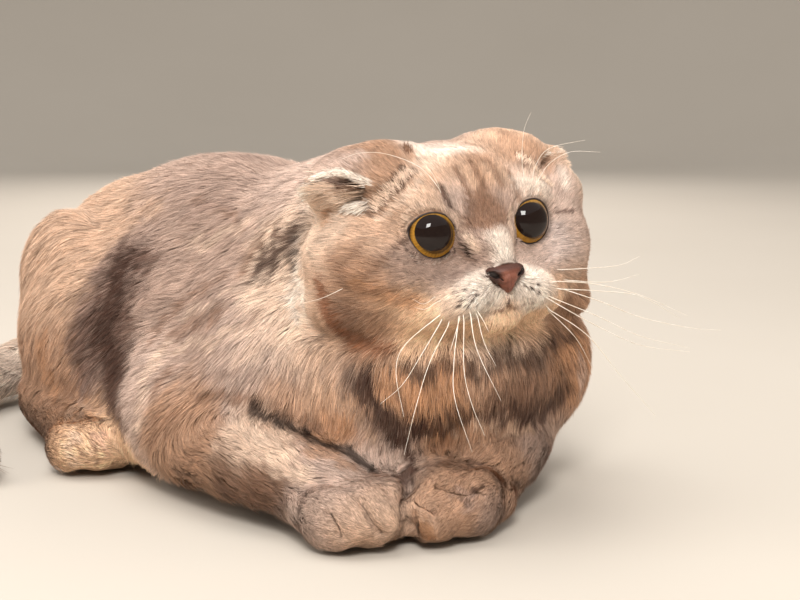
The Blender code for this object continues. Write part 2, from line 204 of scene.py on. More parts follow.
# Finished colours of the coat, as light coming back from the hair
tones = {
    "white": (0.86, 0.74, 0.64),
    "cream": (0.76, 0.57, 0.44),
    "paleTan": (0.60, 0.40, 0.28),
    # A warm pale tan set lighter than the fur, as painted light on the jaw and chin that lie in shade under the head
    "peachWithPaintedLight": (0.88, 0.58, 0.37),
    "tan": (0.46, 0.27, 0.17),
    "warmTan": (0.50, 0.255, 0.13),
    "lilac": (0.43, 0.30, 0.24),
    "paleLilac": (0.56, 0.415, 0.345),
    "slate": (0.31, 0.21, 0.17),
    "brown": (0.23, 0.122, 0.075),
    # A reddish brown used only as painted shadow under the jaw
    "darkBrown": (0.095, 0.046, 0.032),
    # The darkest brown, deeper than the hair's own colour: part of it is painted shade
    "umber": (0.052, 0.022, 0.014),
    "reddishShadow": (0.26, 0.100, 0.045),
    "ash": (0.72, 0.60, 0.56),
    "black": (0.028, 0.015, 0.011),
    "pink": (0.58, 0.33, 0.27),
}

# Soft grounds of colour: place, reach and tone. Head places are in mm on the head's axes
headGrounds = [
    ((-1, -8, 32), 8, "white"), ((-8, -2, 33), 9, "white"), ((0, 12, 33), 16, "lilac"),
    ((14, -6, 33), 9, "paleTan"), ((26, -12, 29), 10, "tan"), ((0, 34, 10), 22, "lilac"),
    ((-17, -16, 28), 5, "cream"), ((-8, -26, 25), 6, "paleTan"), ((2, -27, 25), 7, "tan"),
    ((12, -28, 22), 6, "paleTan"), ((-1, -35, 11), 6.5, "brown"), ((9, -33, 14), 5, "lilac"),
    ((-12, -31, 17), 6, "paleLilac"), ((-25, -26, 18), 8, "paleTan"), ((-28, -29, 13), 6, "cream"),
    ((22, -27, 18), 7, "paleLilac"), ((28, -28, 14), 8, "cream"),
    ((-38, -20, 16), 7, "tan"), ((40, -22, 12), 9, "paleLilac"), ((-44, -22, 5), 8, "paleTan"),
    ((0, -46, -5), 5, "white"), ((-8, -41, -7), 5, "lilac"), ((8, -41, -7), 5, "lilac"),
    ((-23, -34, -12), 8, "lilac"), ((23, -34, -12), 8, "paleLilac"),
    ((-37, -33, -11), 8, "lilac"), ((36, -34, -13), 8, "ash"), ((45, -31, -10), 8, "paleLilac"),
    ((-49, -27, -15), 7, "tan"), ((-40, -31, -26), 8, "peachWithPaintedLight"), ((38, -32, -26), 9, "paleTan"),
    ((-13, -48, -24), 8, "white"), ((13, -48, -24), 8, "white"), ((-24, -43, -28), 6, "cream"),
    ((24, -43, -28), 6, "cream"), ((0, -46, -39), 7, "peachWithPaintedLight"), ((0, -38, -43), 9, "peachWithPaintedLight"),
    ((-29, -33, -36), 9, "peachWithPaintedLight"), ((-20, -36, -40), 8, "peachWithPaintedLight"), ((29, -35, -36), 8, "peachWithPaintedLight"),
    ((-59, -17, -10), 8, "tan"), ((59, -15, -12), 11, "lilac"),
    ((-57, -14, -31), 7, "brown"), ((55, -14, -33), 10, "tan"), ((-47, -26, -32), 8, "tan"),
    ((-58, 2, 0), 12, "cream"), ((58, 4, 0), 12, "cream"), ((-60, 4, -22), 12, "paleTan"),
    ((60, 6, -22), 12, "paleTan"), ((-34, -6, 34), 10, "tan"), ((42, 2, 32), 10, "paleTan"),
    ((-50, -6, 31), 8, "lilac"),
]
bodyGrounds = [
    ((-0.018, -0.140, 0.082), 0.010, "paleTan"), ((0.006, -0.149, 0.081), 0.011, "cream"),
    ((0.030, -0.147, 0.080), 0.012, "paleTan"), ((-0.034, -0.124, 0.084), 0.009, "tan"),
    # The two white places on the tail's near end are painted light, where light from behind falls on it
    ((0.050, 0.165, 0.060), 0.030, "paleTan"), ((-0.052, 0.170, 0.022), 0.024, "white"), ((-0.048, 0.168, 0.018), 0.018, "white"),
    ((0.0, -0.050, 0.145), 0.026, "paleLilac"), ((-0.010, 0.000, 0.142), 0.028, "lilac"),
    ((0.0, 0.050, 0.140), 0.030, "lilac"), ((0.040, 0.020, 0.125), 0.030, "lilac"),
    ((-0.055, -0.010, 0.105), 0.022, "lilac"), ((-0.062, -0.020, 0.075), 0.020, "lilac"),
    ((0.062, -0.010, 0.080), 0.030, "lilac"), ((-0.066, -0.010, 0.052), 0.016, "paleLilac"),
    ((-0.045, 0.090, 0.115), 0.024, "paleTan"), ((0.045, 0.090, 0.110), 0.028, "paleTan"),
    ((-0.072, 0.086, 0.078), 0.018, "paleTan"), ((0.0, 0.150, 0.080), 0.040, "tan"),
    ((-0.077, 0.080, 0.040), 0.018, "tan"), ((0.077, 0.075, 0.040), 0.026, "tan"),
    ((-0.068, 0.032, 0.072), 0.013, "darkBrown"), ((-0.072, 0.040, 0.058), 0.012, "darkBrown"),
    ((-0.060, 0.028, 0.096), 0.012, "slate"), ((-0.073, 0.018, 0.044), 0.010, "darkBrown"),
    ((0.070, 0.035, 0.068), 0.018, "brown"),
    ((-0.050, -0.088, 0.080), 0.014, "cream"), ((-0.060, -0.075, 0.066), 0.014, "paleLilac"),
    ((-0.045, -0.075, 0.108), 0.014, "cream"), ((0.055, -0.070, 0.105), 0.020, "cream"),
    ((-0.020, -0.142, 0.057), 0.011, "warmTan"), ((0.004, -0.151, 0.060), 0.010, "tan"),
    ((0.030, -0.148, 0.056), 0.014, "brown"), ((0.060, -0.138, 0.056), 0.016, "warmTan"),
    ((0.075, -0.100, 0.050), 0.018, "lilac"), ((-0.048, -0.103, 0.058), 0.010, "paleTan"),
    ((-0.043, -0.108, 0.045), 0.009, "warmTan"), ((-0.058, -0.090, 0.052), 0.010, "tan"),
    ((-0.068, -0.088, 0.038), 0.010, "cream"), ((-0.072, -0.093, 0.024), 0.011, "brown"),
    ((-0.050, -0.125, 0.022), 0.016, "paleLilac"), ((-0.050, -0.142, 0.015), 0.014, "paleTan"),
    ((-0.026, -0.154, 0.016), 0.011, "tan"),
    ((0.005, -0.148, 0.018), 0.014, "tan"), ((-0.010, -0.160, 0.010), 0.008, "lilac"), ((0.045, -0.128, 0.020), 0.018, "lilac"),
    ((-0.085, 0.025, 0.012), 0.013, "peachWithPaintedLight"), ((0.085, 0.025, 0.012), 0.013, "peachWithPaintedLight"),
    ((-0.082, 0.040, 0.014), 0.010, "warmTan"), ((0.082, 0.040, 0.014), 0.010, "warmTan"),
    ((-0.082, -0.045, 0.034), 0.014, "tan"),
    ((-0.040, 0.180, 0.018), 0.030, "paleTan"), ((-0.110, 0.130, 0.015), 0.030, "tan"),
    ((-0.127, 0.065, 0.013), 0.026, "brown"),
]

# Marks drawn over the grounds: tone, strength, half width, path
whiskerDots = [(-19.7, -46.7, -19.3), (-18.7, -49.3, -22.1), (-15.7, -50.2, -22.2), (-21.8, -48.2, -24.0),
               (-19.9, -49.3, -26.5), (-23.5, -45.1, -21.0), (-23.0, -47.7, -26.2), (-18.0, -50.1, -24.6),
               (8.0, -49.6, -21.8), (10.6, -50.5, -23.6), (14.0, -50.4, -22.1), (13.4, -50.4, -25.7)]
headMarks = [
    # Stripes of the forehead
    ("darkBrown", 0.92, 1.3, [(-17, -28, 20), (-16, -31, 15), (-15, -34, 9.5)]),
    ("brown", 0.75, 1.3, [(-9, -26, 26), (-7.5, -30, 21), (-6, -33, 15)]),
    ("brown", 0.80, 1.2, [(-1.5, -25, 28), (-0.5, -29, 23.5), (1.5, -32, 17.5)]),
    ("brown", 0.75, 1.2, [(7, -24, 27), (8.5, -28, 22), (10, -31, 17)]),
    ("brown", 0.70, 1.4, [(16, -27, 22), (17, -30, 17), (17.5, -32, 11)]),
    ("brown", 0.60, 4.0, [(-5, -34, 13), (2, -35, 10), (0, -38, 4)]),
    ("slate", 0.55, 2.0, [(-3, -41, -1), (3, -41, -1)]),
    ("paleTan", 0.70, 1.6, [(-4, -27, 25), (-3.5, -31, 19)]),
    ("paleTan", 0.60, 1.6, [(4, -27, 25), (5, -31, 19)]),
    # Pale lines over the eyes and along the nose
    ("cream", 0.80, 1.9, [(-34, -28, 8), (-27, -31, 12), (-20, -32.5, 12), (-15, -34.5, 7.5), (-12, -37, 1),
                          (-9.5, -39, -5)]),
    ("cream", 0.90, 1.3, [(-16.6, -34.2, 5.7), (-14.5, -35.0, 2.7), (-12.7, -36.2, 0.2),
                          (-11.3, -37.5, -2.2), (-10.0, -39.0, -4.4), (-9.1, -40.3, -6.6)]),
    ("cream", 0.85, 1.7, [(12, -35, 7), (9.5, -37, 1), (7, -41, -4)]),
    ("white", 0.60, 3.5, [(20, -29, 18), (28, -28, 15), (36, -26, 12)]),
    ("tan", 0.60, 1.6, [(-31, -28.5, 9.5), (-26, -30.5, 11), (-21, -31.5, 11)]),
    ("slate", 0.60, 2.2, [(-8, -40, -8), (-12, -38, -13), (-17, -37, -16)]),
    # Dark lines from the corners of the eyes
    ("darkBrown", 0.75, 1.0, [(-33, -28, 0.5), (-36.5, -30, 0.0), (-41, -30, -2.5), (-45.5, -29.5, -6)]),
    ("brown", 0.60, 1.6, [(-45.5, -29.5, -6), (-50, -28, -10), (-54, -25, -14)]),
    ("darkBrown", 0.80, 1.1, [(33, -29, 3.5), (41, -28.5, 2.5), (49, -26.5, 1.5)]),
    ("black", 0.95, 1.5, [(-15.6, -34.7, 0.0), (-14.8, -35.4, -2.1), (-13.9, -36.0, -3.9),
                          (-12.6, -36.4, -5.9), (-11.4, -36.8, -8.2)]),
    ("white", 0.80, 0.9, [(-34.2, -33.3, -4.9), (-31.5, -33.7, -7.7), (-26.4, -33.8, -9.8),
                          (-20.9, -33.6, -10.2), (-16.9, -33.9, -9.1)]),
    ("warmTan", 0.65, 1.0, [(-34.0, -29.8, 3.4), (-31.6, -29.9, 7.1), (-28.0, -31.1, 10.0),
                            (-23.2, -32.0, 10.9), (-18.4, -33.0, 9.8), (-15.7, -34.3, 7.2)]),
    ("cream", 0.70, 1.2, [(14.1, -32.7, 3.7), (16.6, -32.1, 7.4), (21.6, -31.2, 9.6)]),
    ("darkBrown", 0.80, 1.2, [(13, -34, -3), (11, -36, -8)]),
    ("pink", 0.55, 1.3, [(-14.5, -34.5, -8.0)]),
    # Cheek
    ("brown", 0.55, 1.8, [(-62, -12, -4), (-59, -19, -11), (-57, -22, -16)]),
    ("brown", 0.50, 1.8, [(-50, -26, 4), (-55, -22, -3), (-57, -19, -9)]),
    ("warmTan", 0.75, 3.2, [(-56, -24, -16), (-48, -31, -20.5), (-35, -33, -25)]),
    # Painted shadow along the jaw's underside, where the head overhangs the neck
    ("reddishShadow", 0.90, 3.4, [(-63.5, -5.4, -17.5), (-63.3, -7.8, -23.3), (-62.5, -9.5, -30.5),
                          (-58.4, -9.2, -37.0), (-53.5, -12.1, -41.4), (-49.3, -19.8, -43.6),
                          (-44.5, -25.3, -45.0)]),
    ("brown", 0.45, 1.8, [(-58, -18, -26), (-46, -28, -31), (-38, -31, -35)]),
    ("brown", 0.50, 1.6, [(-60, -17, -15), (-50, -29, -19), (-42, -33, -18)]),
    # Dots at the whiskers' roots, the groove and the lips
    *[("black", 0.97, 0.9, [dot]) for dot in whiskerDots],
    ("pink", 0.45, 1.8, [(0.0, -50.0, -23.0), (0.0, -49.8, -28.0)]),
    ("darkBrown", 0.90, 0.7, [(0.0, -50.0, -22.5), (0.0, -50.0, -26.0), (0.0, -49.2, -30.0)]),
    ("darkBrown", 0.85, 1.3, [(0.2, -49.5, -28.0), (0.0, -48.5, -30.6)]),
    ("brown", 0.85, 0.8, [(0.0, -48.0, -30.4), (-3.5, -46.5, -31.2), (-7.0, -45.9, -32.0), (-11.0, -45.9, -32.2)]),
    ("brown", 0.85, 0.8, [(0.0, -48.0, -30.4), (3.6, -46.4, -31.2), (7.4, -46.0, -31.8), (11.3, -47.3, -30.6)]),
    # The right ear: a pale rim over the opening's brown, which is painted shade, a white tuft beneath, and dark gaps
    # along the flap's front, painted shadow under its edge mixed with dark-based hair
    ("paleLilac", 0.80, 3.0, [(-58, -3, 29), (-50, -8, 32), (-42, -9, 33)]),
    ("white", 0.95, 1.1, [(-61, -3, 25), (-59, -5, 26.6), (-52, -11, 28), (-47.5, -15, 25.8), (-43.5, -17.6, 22.8)]),
    # Painted shade inside the ear's opening
    ("brown", 0.80, 1.0, [(-53.7, -5, 21.8), (-47.7, -8, 21.3), (-43.3, -15.5, 20.0)]),
    ("brown", 0.60, 1.0, [(-51, -4, 17.5), (-46, -7, 16.8), (-42.8, -15, 16.2)]),
    ("white", 0.95, 2.2, [(-49.6, -3.5, 13.8), (-44.9, -7.4, 12.8), (-42.8, -14.3, 13.2)]),
    ("warmTan", 0.75, 2.6, [(-54.5, -3, 16.5), (-55, 0, 11), (-56, 1, 6)]),
    ("cream", 0.90, 3.2, [(-62, 2, 22), (-60, 3, 16), (-59, 4, 8), (-59, 4, 0)]),
    ("tan", 0.80, 2.2, [(-19.5, -8, 33), (-21, -11, 30.5)]),
    # Painted shadow under the flap's front edge, partly dark-based hair
    ("darkBrown", 0.70, 1.7, [(-22.5, -15.7, 25.9), (-28.6, -21.1, 23.0), (-33.6, -22.5, 20.1), (-37.3, -21.6, 17.3),
                              (-40.1, -18.7, 13.8), (-43.9, -17.0, 10.8)]),
    ("cream", 0.75, 1.5, [(-20.5, -19, 22.5), (-27, -24.0, 19.5), (-32.5, -25, 16.5), (-37, -23.5, 13), (-42, -21, 8)]),
    # The left ear
    ("tan", 0.70, 3.0, [(34, -14, 30), (40, -13, 26), (44, -13, 20)]),
    ("brown", 0.55, 1.5, [(27, -21, 24), (33, -21, 20), (40, -18, 14)]),
    ("white", 0.60, 2.0, [(50, -14, 17), (48, -20, 11)]),
]
chestMarks = [
    # The dark necklace from the cheek to the paws and across the chest, then the softer bands above it. The band just
    # under the jaw and the dark at its left end are painted shadow of the head
    ("slate", 0.60, 0.006, [(-0.046, -0.107, 0.070), (-0.046, -0.112, 0.065), (-0.045, -0.118, 0.060),
                            (-0.042, -0.122, 0.055)]),
    ("umber", 0.80, 0.0055, [(-0.049, -0.102, 0.087), (-0.044, -0.100, 0.080), (-0.044, -0.106, 0.075)]),
    ("umber", 0.92, 0.0074, [(-0.044, -0.106, 0.075), (-0.0445, -0.113, 0.0715), (-0.044, -0.119, 0.0675),
                             (-0.0430, -0.122, 0.060), (-0.0405, -0.125, 0.053), (-0.034, -0.130, 0.045),
                             (-0.026, -0.133, 0.040)]),
    ("umber", 0.90, 0.0060, [(-0.028, -0.132, 0.039), (-0.024, -0.136, 0.042), (-0.018, -0.142, 0.045),
                                 (-0.011, -0.146, 0.046), (-0.002, -0.148, 0.047), (0.008, -0.150, 0.048),
                                 (0.024, -0.149, 0.046), (0.041, -0.144, 0.044), (0.058, -0.140, 0.045)]),
    ("umber", 0.85, 0.0042, [(-0.042, -0.121, 0.072), (-0.042, -0.1215, 0.066), (-0.040, -0.1255, 0.060)]),
    ("darkBrown", 0.80, 0.0042, [(0.008, -0.148, 0.043), (0.0235, -0.147, 0.040), (0.041, -0.142, 0.039),
                                 (0.058, -0.137, 0.040)]),
    ("brown", 0.65, 0.005, [(0.001, -0.151, 0.053), (0.018, -0.151, 0.053), (0.041, -0.146, 0.052),
                            (0.063, -0.141, 0.054)]),
    # Painted shadow under the jaw, where the head overhangs the chest
    ("umber", 0.80, 0.0034, [(-0.037, -0.130, 0.072), (-0.033, -0.134, 0.071), (-0.027, -0.140, 0.069),
                                (-0.020, -0.144, 0.068), (-0.004, -0.150, 0.067), (0.011, -0.152, 0.068),
                                (0.023, -0.152, 0.068), (0.045, -0.146, 0.069), (0.063, -0.138, 0.071)]),
    ("brown", 0.45, 0.002, [(-0.024, -0.142, 0.058), (-0.013, -0.148, 0.059), (0.001, -0.151, 0.059),
                            (0.018, -0.152, 0.056)]),
    # Painted shade under the left jaw
    ("darkBrown", 0.75, 0.0034, [(0.049, -0.144, 0.068), (0.062, -0.139, 0.070), (0.072, -0.136, 0.071)]),
    ("paleLilac", 0.60, 0.0032, [(0.070, -0.139, 0.058), (0.073, -0.138, 0.051), (0.073, -0.136, 0.043)]),
    ("paleTan", 0.70, 0.003, [(-0.048, -0.104, 0.061), (-0.046, -0.110, 0.055), (-0.043, -0.116, 0.048),
                              (-0.039, -0.121, 0.042)]),
    ("paleTan", 0.80, 0.002, [(-0.022, -0.135, 0.037), (-0.015, -0.141, 0.041), (-0.005, -0.145, 0.042),
                              (0.011, -0.147, 0.041), (0.033, -0.143, 0.035)]),
    ("darkBrown", 0.85, 0.0034, [(-0.026, -0.131, 0.034), (-0.027, -0.133, 0.029), (-0.030, -0.137, 0.025)]),
]
sideMarks = [
    # Haunch and flank
    ("slate", 0.70, 0.0150, [(-0.066, 0.036, 0.084), (-0.071, 0.038, 0.066), (-0.074, 0.034, 0.046)]),
    ("darkBrown", 0.75, 0.0050, [(-0.056, 0.013, 0.099), (-0.059, 0.028, 0.098), (-0.063, 0.034, 0.090)]),
    ("umber", 0.95, 0.0092, [(-0.059, 0.036, 0.097), (-0.065, 0.032, 0.085), (-0.069, 0.034, 0.072),
                               (-0.071, 0.033, 0.059), (-0.072, 0.024, 0.048)]),
    ("darkBrown", 0.75, 0.0053, [(-0.073, 0.026, 0.044), (-0.075, 0.020, 0.034), (-0.081, 0.003, 0.029)]),
    ("darkBrown", 0.55, 0.0045, [(-0.072, 0.044, 0.067), (-0.074, 0.048, 0.057), (-0.075, 0.045, 0.048)]),
    ("paleTan", 0.60, 0.0045, [(-0.042, 0.030, 0.123), (-0.044, 0.045, 0.117), (-0.049, 0.053, 0.108)]),
    ("brown", 0.65, 0.0024, [(-0.053, -0.036, 0.096), (-0.055, -0.024, 0.090), (-0.057, -0.011, 0.083),
                             (-0.061, -0.005, 0.076), (-0.067, -0.003, 0.067)]),
    ("brown", 0.65, 0.0024, [(-0.065, -0.052, 0.083), (-0.065, -0.041, 0.079), (-0.064, -0.030, 0.073)]),
    ("brown", 0.55, 0.0020, [(-0.057, -0.075, 0.088), (-0.062, -0.068, 0.084), (-0.065, -0.062, 0.081)]),
    ("brown", 0.65, 0.0024, [(-0.075, -0.031, 0.060), (-0.080, -0.029, 0.054), (-0.083, -0.027, 0.047)]),
    ("brown", 0.60, 0.0029, [(-0.082, -0.043, 0.044), (-0.084, -0.036, 0.035), (-0.084, -0.028, 0.023)]),
    ("slate", 0.60, 0.0024, [(-0.073, -0.052, 0.056), (-0.070, -0.064, 0.060), (-0.066, -0.079, 0.061)]),
    ("cream", 0.75, 0.0024, [(-0.067, -0.015, 0.067), (-0.074, -0.015, 0.061), (-0.081, -0.018, 0.052),
                             (-0.084, -0.020, 0.041), (-0.085, -0.017, 0.030)]),
    ("cream", 0.60, 0.0022, [(-0.059, -0.078, 0.083), (-0.066, -0.065, 0.078), (-0.068, -0.044, 0.071),
                             (-0.069, -0.025, 0.066)]),
    ("cream", 0.50, 0.0022, [(-0.058, -0.050, 0.092), (-0.060, -0.038, 0.086), (-0.058, -0.019, 0.078)]),
    ("cream", 0.50, 0.0029, [(-0.040, -0.040, 0.121), (-0.042, -0.030, 0.116), (-0.045, -0.015, 0.111),
                             (-0.048, -0.004, 0.108)]),
    ("cream", 0.45, 0.0045, [(-0.052, -0.085, 0.086), (-0.061, -0.081, 0.076), (-0.068, -0.071, 0.068)]),
    # Behind the head and along the back
    ("white", 0.80, 0.0036, [(-0.036, -0.078, 0.133), (-0.040, -0.081, 0.124), (-0.043, -0.081, 0.110),
                             (-0.046, -0.082, 0.097), (-0.049, -0.086, 0.088)]),
    ("brown", 0.55, 0.0024, [(-0.041, -0.059, 0.122), (-0.042, -0.068, 0.120)]),
    ("umber", 0.90, 0.006, [(-0.041, -0.079, 0.122), (-0.043, -0.076, 0.118), (-0.044, -0.071, 0.113),
                                (-0.047, -0.066, 0.108), (-0.049, -0.062, 0.103)]),
    ("brown", 0.70, 0.004, [(-0.045, -0.055, 0.113), (-0.048, -0.050, 0.107), (-0.050, -0.049, 0.103)]),
    ("brown", 0.60, 0.003, [(-0.040, 0.003, 0.126), (-0.039, -0.008, 0.124), (-0.038, -0.018, 0.123),
                            (-0.039, -0.029, 0.122)]),
    ("brown", 0.60, 0.0032, [(-0.068, -0.011, 0.066), (-0.063, -0.018, 0.072), (-0.062, -0.030, 0.078),
                             (-0.064, -0.047, 0.084)]),
    ("slate", 0.75, 0.0035, [(-0.035, -0.018, 0.127), (-0.039, -0.008, 0.124), (-0.043, 0.003, 0.120)]),
    ("slate", 0.50, 0.0040, [(-0.022, -0.019, 0.138), (-0.031, -0.004, 0.134), (-0.037, 0.017, 0.130)]),
    ("slate", 0.45, 0.0060, [(-0.002, -0.050, 0.146), (-0.004, 0.030, 0.148), (-0.004, 0.090, 0.138)]),
    # Rump and hind foot
    ("warmTan", 0.60, 0.0050, [(-0.079, 0.081, 0.050), (-0.077, 0.078, 0.037), (-0.077, 0.065, 0.027)]),
    ("brown", 0.50, 0.0037, [(-0.077, 0.062, 0.036), (-0.076, 0.054, 0.029), (-0.081, 0.039, 0.024)]),
    ("paleTan", 0.65, 0.0037, [(-0.079, 0.046, 0.026), (-0.075, 0.038, 0.028)]),
    ("cream", 0.60, 0.0030, [(-0.091, 0.026, 0.022), (-0.093, 0.023, 0.016), (-0.091, 0.021, 0.009)]),
    ("pink", 0.45, 0.0029, [(-0.083, 0.017, 0.020), (-0.083, 0.014, 0.014)]),
]
legMarks = [
    # The crease over the right forearm, painted dark as the shade in the fold, then painted shade on the left forearm
    # under the chest
    ("brown", 0.75, 0.0024, [(-0.077, -0.051, 0.049), (-0.072, -0.061, 0.052), (-0.066, -0.079, 0.052),
                             (-0.057, -0.092, 0.047), (-0.047, -0.099, 0.041)]),
    ("black", 0.90, 0.0021, [(-0.067, -0.079, 0.049), (-0.064, -0.085, 0.046), (-0.060, -0.092, 0.044),
                             (-0.055, -0.098, 0.041), (-0.051, -0.106, 0.038), (-0.044, -0.114, 0.035),
                             (-0.042, -0.120, 0.032), (-0.039, -0.124, 0.028)]),
    ("cream", 0.85, 0.0046, [(-0.073, -0.085, 0.038), (-0.069, -0.096, 0.036), (-0.066, -0.112, 0.030)]),
    ("tan", 0.70, 0.003, [(-0.058, -0.110, 0.036), (-0.051, -0.116, 0.035), (-0.049, -0.123, 0.031)]),
    ("cream", 0.45, 0.0029, [(-0.076, -0.085, 0.033), (-0.071, -0.101, 0.031), (-0.065, -0.117, 0.027)]),
    # Painted shade along the right foreleg's lower side
    ("brown", 0.45, 0.0029, [(-0.080, -0.079, 0.026), (-0.077, -0.089, 0.019), (-0.073, -0.097, 0.014)]),
    ("darkBrown", 0.75, 0.0016, [(-0.002, -0.143, 0.028), (0.003, -0.145, 0.028)]),
    ("darkBrown", 0.80, 0.0040, [(0.022, -0.139, 0.031), (0.045, -0.132, 0.026)]),
    # Rings on the tail
    ("warmTan", 0.85, 0.003, [(-0.040, -0.150, 0.013), (-0.039, -0.152, 0.011), (-0.037, -0.155, 0.009)]),
    ("slate", 0.60, 0.003, [(-0.021, -0.156, 0.023), (-0.021, -0.160, 0.021), (-0.021, -0.162, 0.018)]),
    ("brown", 0.60, 0.0060, [(-0.100, 0.125, 0.015), (-0.125, 0.150, 0.015)]),
    ("brown", 0.60, 0.0060, [(-0.110, 0.095, 0.015), (-0.142, 0.105, 0.015)]),
]
# Folds between the toes and over the knuckles: painted dark as their shade and pressed into the skin
# Each has a depth, a reach and a drawn half width in mm, then its path
cleftShadePlan = {"tone": "darkBrown", "strength": 0.85}
clefts = [
    (2.0, 2.2, 0.9, [(-0.0709, -0.1353, 0.0190), (-0.0704, -0.1371, 0.0162), (-0.0695, -0.1390, 0.0132),
                     (-0.0688, -0.1394, 0.0103)]),
    (2.2, 2.4, 0.9, [(-0.0583, -0.1406, 0.0241), (-0.0586, -0.1447, 0.0203), (-0.0577, -0.1472, 0.0151),
                     (-0.0548, -0.1480, 0.0102)]),
    (2.0, 2.2, 0.9, [(-0.0252, -0.1487, 0.0246), (-0.0214, -0.1528, 0.0235), (-0.0198, -0.1593, 0.0230),
                     (-0.0131, -0.1626, 0.0233)]),
    (1.8, 2.0, 0.8, [(-0.0338, -0.1470, 0.0201), (-0.0335, -0.1515, 0.0183), (-0.0327, -0.1552, 0.0170)]),
    (1.4, 2.0, 0.8, [(-0.0208, -0.1564, 0.0226), (-0.0212, -0.1596, 0.0205), (-0.0206, -0.1619, 0.0181)]),
    (0.6, 1.6, 1.1, [(-0.0021, -0.1429, 0.0292), (-0.0003, -0.1463, 0.0279)]),
    # Between the two forepaws
    (7.0, 4.6, 2.0, [(-0.0291, -0.1351, 0.0251), (-0.0372, -0.1443, 0.0239), (-0.0396, -0.1470, 0.0209),
                     (-0.0408, -0.1485, 0.0174), (-0.0415, -0.1492, 0.0137), (-0.0413, -0.1490, 0.0095),
                     (-0.0390, -0.1470, 0.0052)]),
    (1.2, 1.6, 0.8, [(-0.0915, 0.0216, 0.0165), (-0.0905, 0.0200, 0.0128), (-0.0895, 0.0202, 0.0089)]),
    (1.2, 1.6, 0.8, [(-0.0853, 0.0170, 0.0172), (-0.0849, 0.0154, 0.0128), (-0.0848, 0.0159, 0.0089)]),
    (1.2, 1.6, 0.8, [(0.0915, 0.0216, 0.0165), (0.0905, 0.0200, 0.0128), (0.0895, 0.0202, 0.0089)]),
    (1.2, 1.6, 0.8, [(0.0853, 0.0170, 0.0172), (0.0849, 0.0154, 0.0128), (0.0848, 0.0159, 0.0089)]),
]


def drawMarks(points, colour, marks, waver):
    for tone, strength, half, path in marks:
        reach = half * 2.2
        low = np.min(path, axis=0) - reach
        high = np.max(path, axis=0) + reach
        near = np.flatnonzero(np.all((points > low) & (points < high), axis=1))
        if not len(near):
            continue
        d = lineDistance(points[near], path)[0] + waver[near] * half * 0.45
        share = strength * (1 - smooth(d, half * 0.45, half * 1.7))
        colour[near] += share[:, None] * (np.array(tones[tone]) - colour[near])
    return colour


def groundTones(points, grounds, floorShare):
    total = np.full((len(points), 1), floorShare)
    colour = total * np.array(tones["lilac"])
    for place, reach, tone in grounds:
        share = np.exp(-np.sum((points - np.array(place)) ** 2, axis=1) / (reach * reach))[:, None]
        colour += share * np.array(tones[tone])
        total += share
    return colour / total


def coatTones(points):
    # The coat's markings at any places on the body, for skin and hair alike
    head = toHead(points)
    body = points + np.stack([waves(points, 0.016, s) for s in (1, 2, 3)], axis=1) * 0.0022
    outside = np.sum(((head - (0, -8, -4)) / (66, 50, 46)) ** 2, axis=1)
    onHead = np.maximum(1 - smooth(head[:, 1], -4, 12), 1 - smooth(outside, 1.0, 1.25))
    onHead *= smooth(head[:, 2] + 0.25 * head[:, 1], -62, -50)
    colour = groundTones(body, bodyGrounds, 1e-4)
    ragged = waves(points, 0.006, 4)
    colour = drawMarks(body, colour, chestMarks + sideMarks, ragged)
    colour = drawMarks(body * np.array([-1, 1, 1]), colour, sideMarks, ragged)
    colour = drawMarks(points, colour, legMarks, ragged)
    # The folds are painted dark, as the shade in them
    foldShade = [(cleftShadePlan["tone"], cleftShadePlan["strength"], half * mm, path) for _, _, half, path in clefts]
    colour = drawMarks(points, colour, foldShade, ragged)
    near = np.flatnonzero(onHead > 0.001)
    head = head[near]
    soft = head + np.stack([waves(head, 7, s) for s in (6, 7, 8)], axis=1) * 0.7
    face = groundTones(soft, headGrounds, 1e-4)
    face = drawMarks(head, face, headMarks, waves(head, 1.8, 9))
    colour[near] += onHead[near, None] * (face - colour[near])
    uneven = 1 + 0.08 * waves(points, 0.012, 10) + 0.06 * waves(points, 0.004, 11)
    return np.clip(colour * uneven[:, None], 0.004, 0.95)


# Skin: one closed surface under the whole coat
skinPlan = {"cell": 0.0020, "closeGaps": 0.0004, "soften": 3}
# Where the skin needs a finer mesh: place, then reach in mm. Head places are in mm on the head's axes
fineHead = [((0, -30, -8), 44), ((21.3, -31, 0), 17), ((-21.3, -31, 0), 17), ((0, -48, -22), 15)]
finePaws = [((-0.060, -0.140, 0.014), 15), ((-0.022, -0.153, 0.018), 15)]
eyePlan = {"centre": (21.3, -22.6, 0.0), "splay": 8.0, "rise": 4.0, "radius": 12.5, "slant": 11.0,
           "wide": 9.9, "up": 8.5, "down": 9.2, "corner": 5.0, "dip": 3.4, "pupil": 7.2, "iris": 9.7,
           "pupilShift": 1.3, "pupilRise": 0.8}
sides = {"left": 1, "right": -1}


def eyeAxes(side):
    turn = (Matrix.Rotation(math.radians(eyePlan["splay"] * side), 3, "Z")
            @ Matrix.Rotation(math.radians(-eyePlan["rise"]), 3, "X"))
    return np.array(turn), np.array([eyePlan["centre"][0] * side, *eyePlan["centre"][1:]])


def toEye(head, side):
    # x runs to the outer corner, y is out of the head, z up, all tilted with the lids
    axes, centre = eyeAxes(side)
    p = (head - centre) @ axes
    a = math.radians(eyePlan["slant"])
    x, z = p[:, 0] * side, p[:, 2]
    return np.stack([x * math.cos(a) + z * math.sin(a), -p[:, 1], z * math.cos(a) - x * math.sin(a)], axis=1)


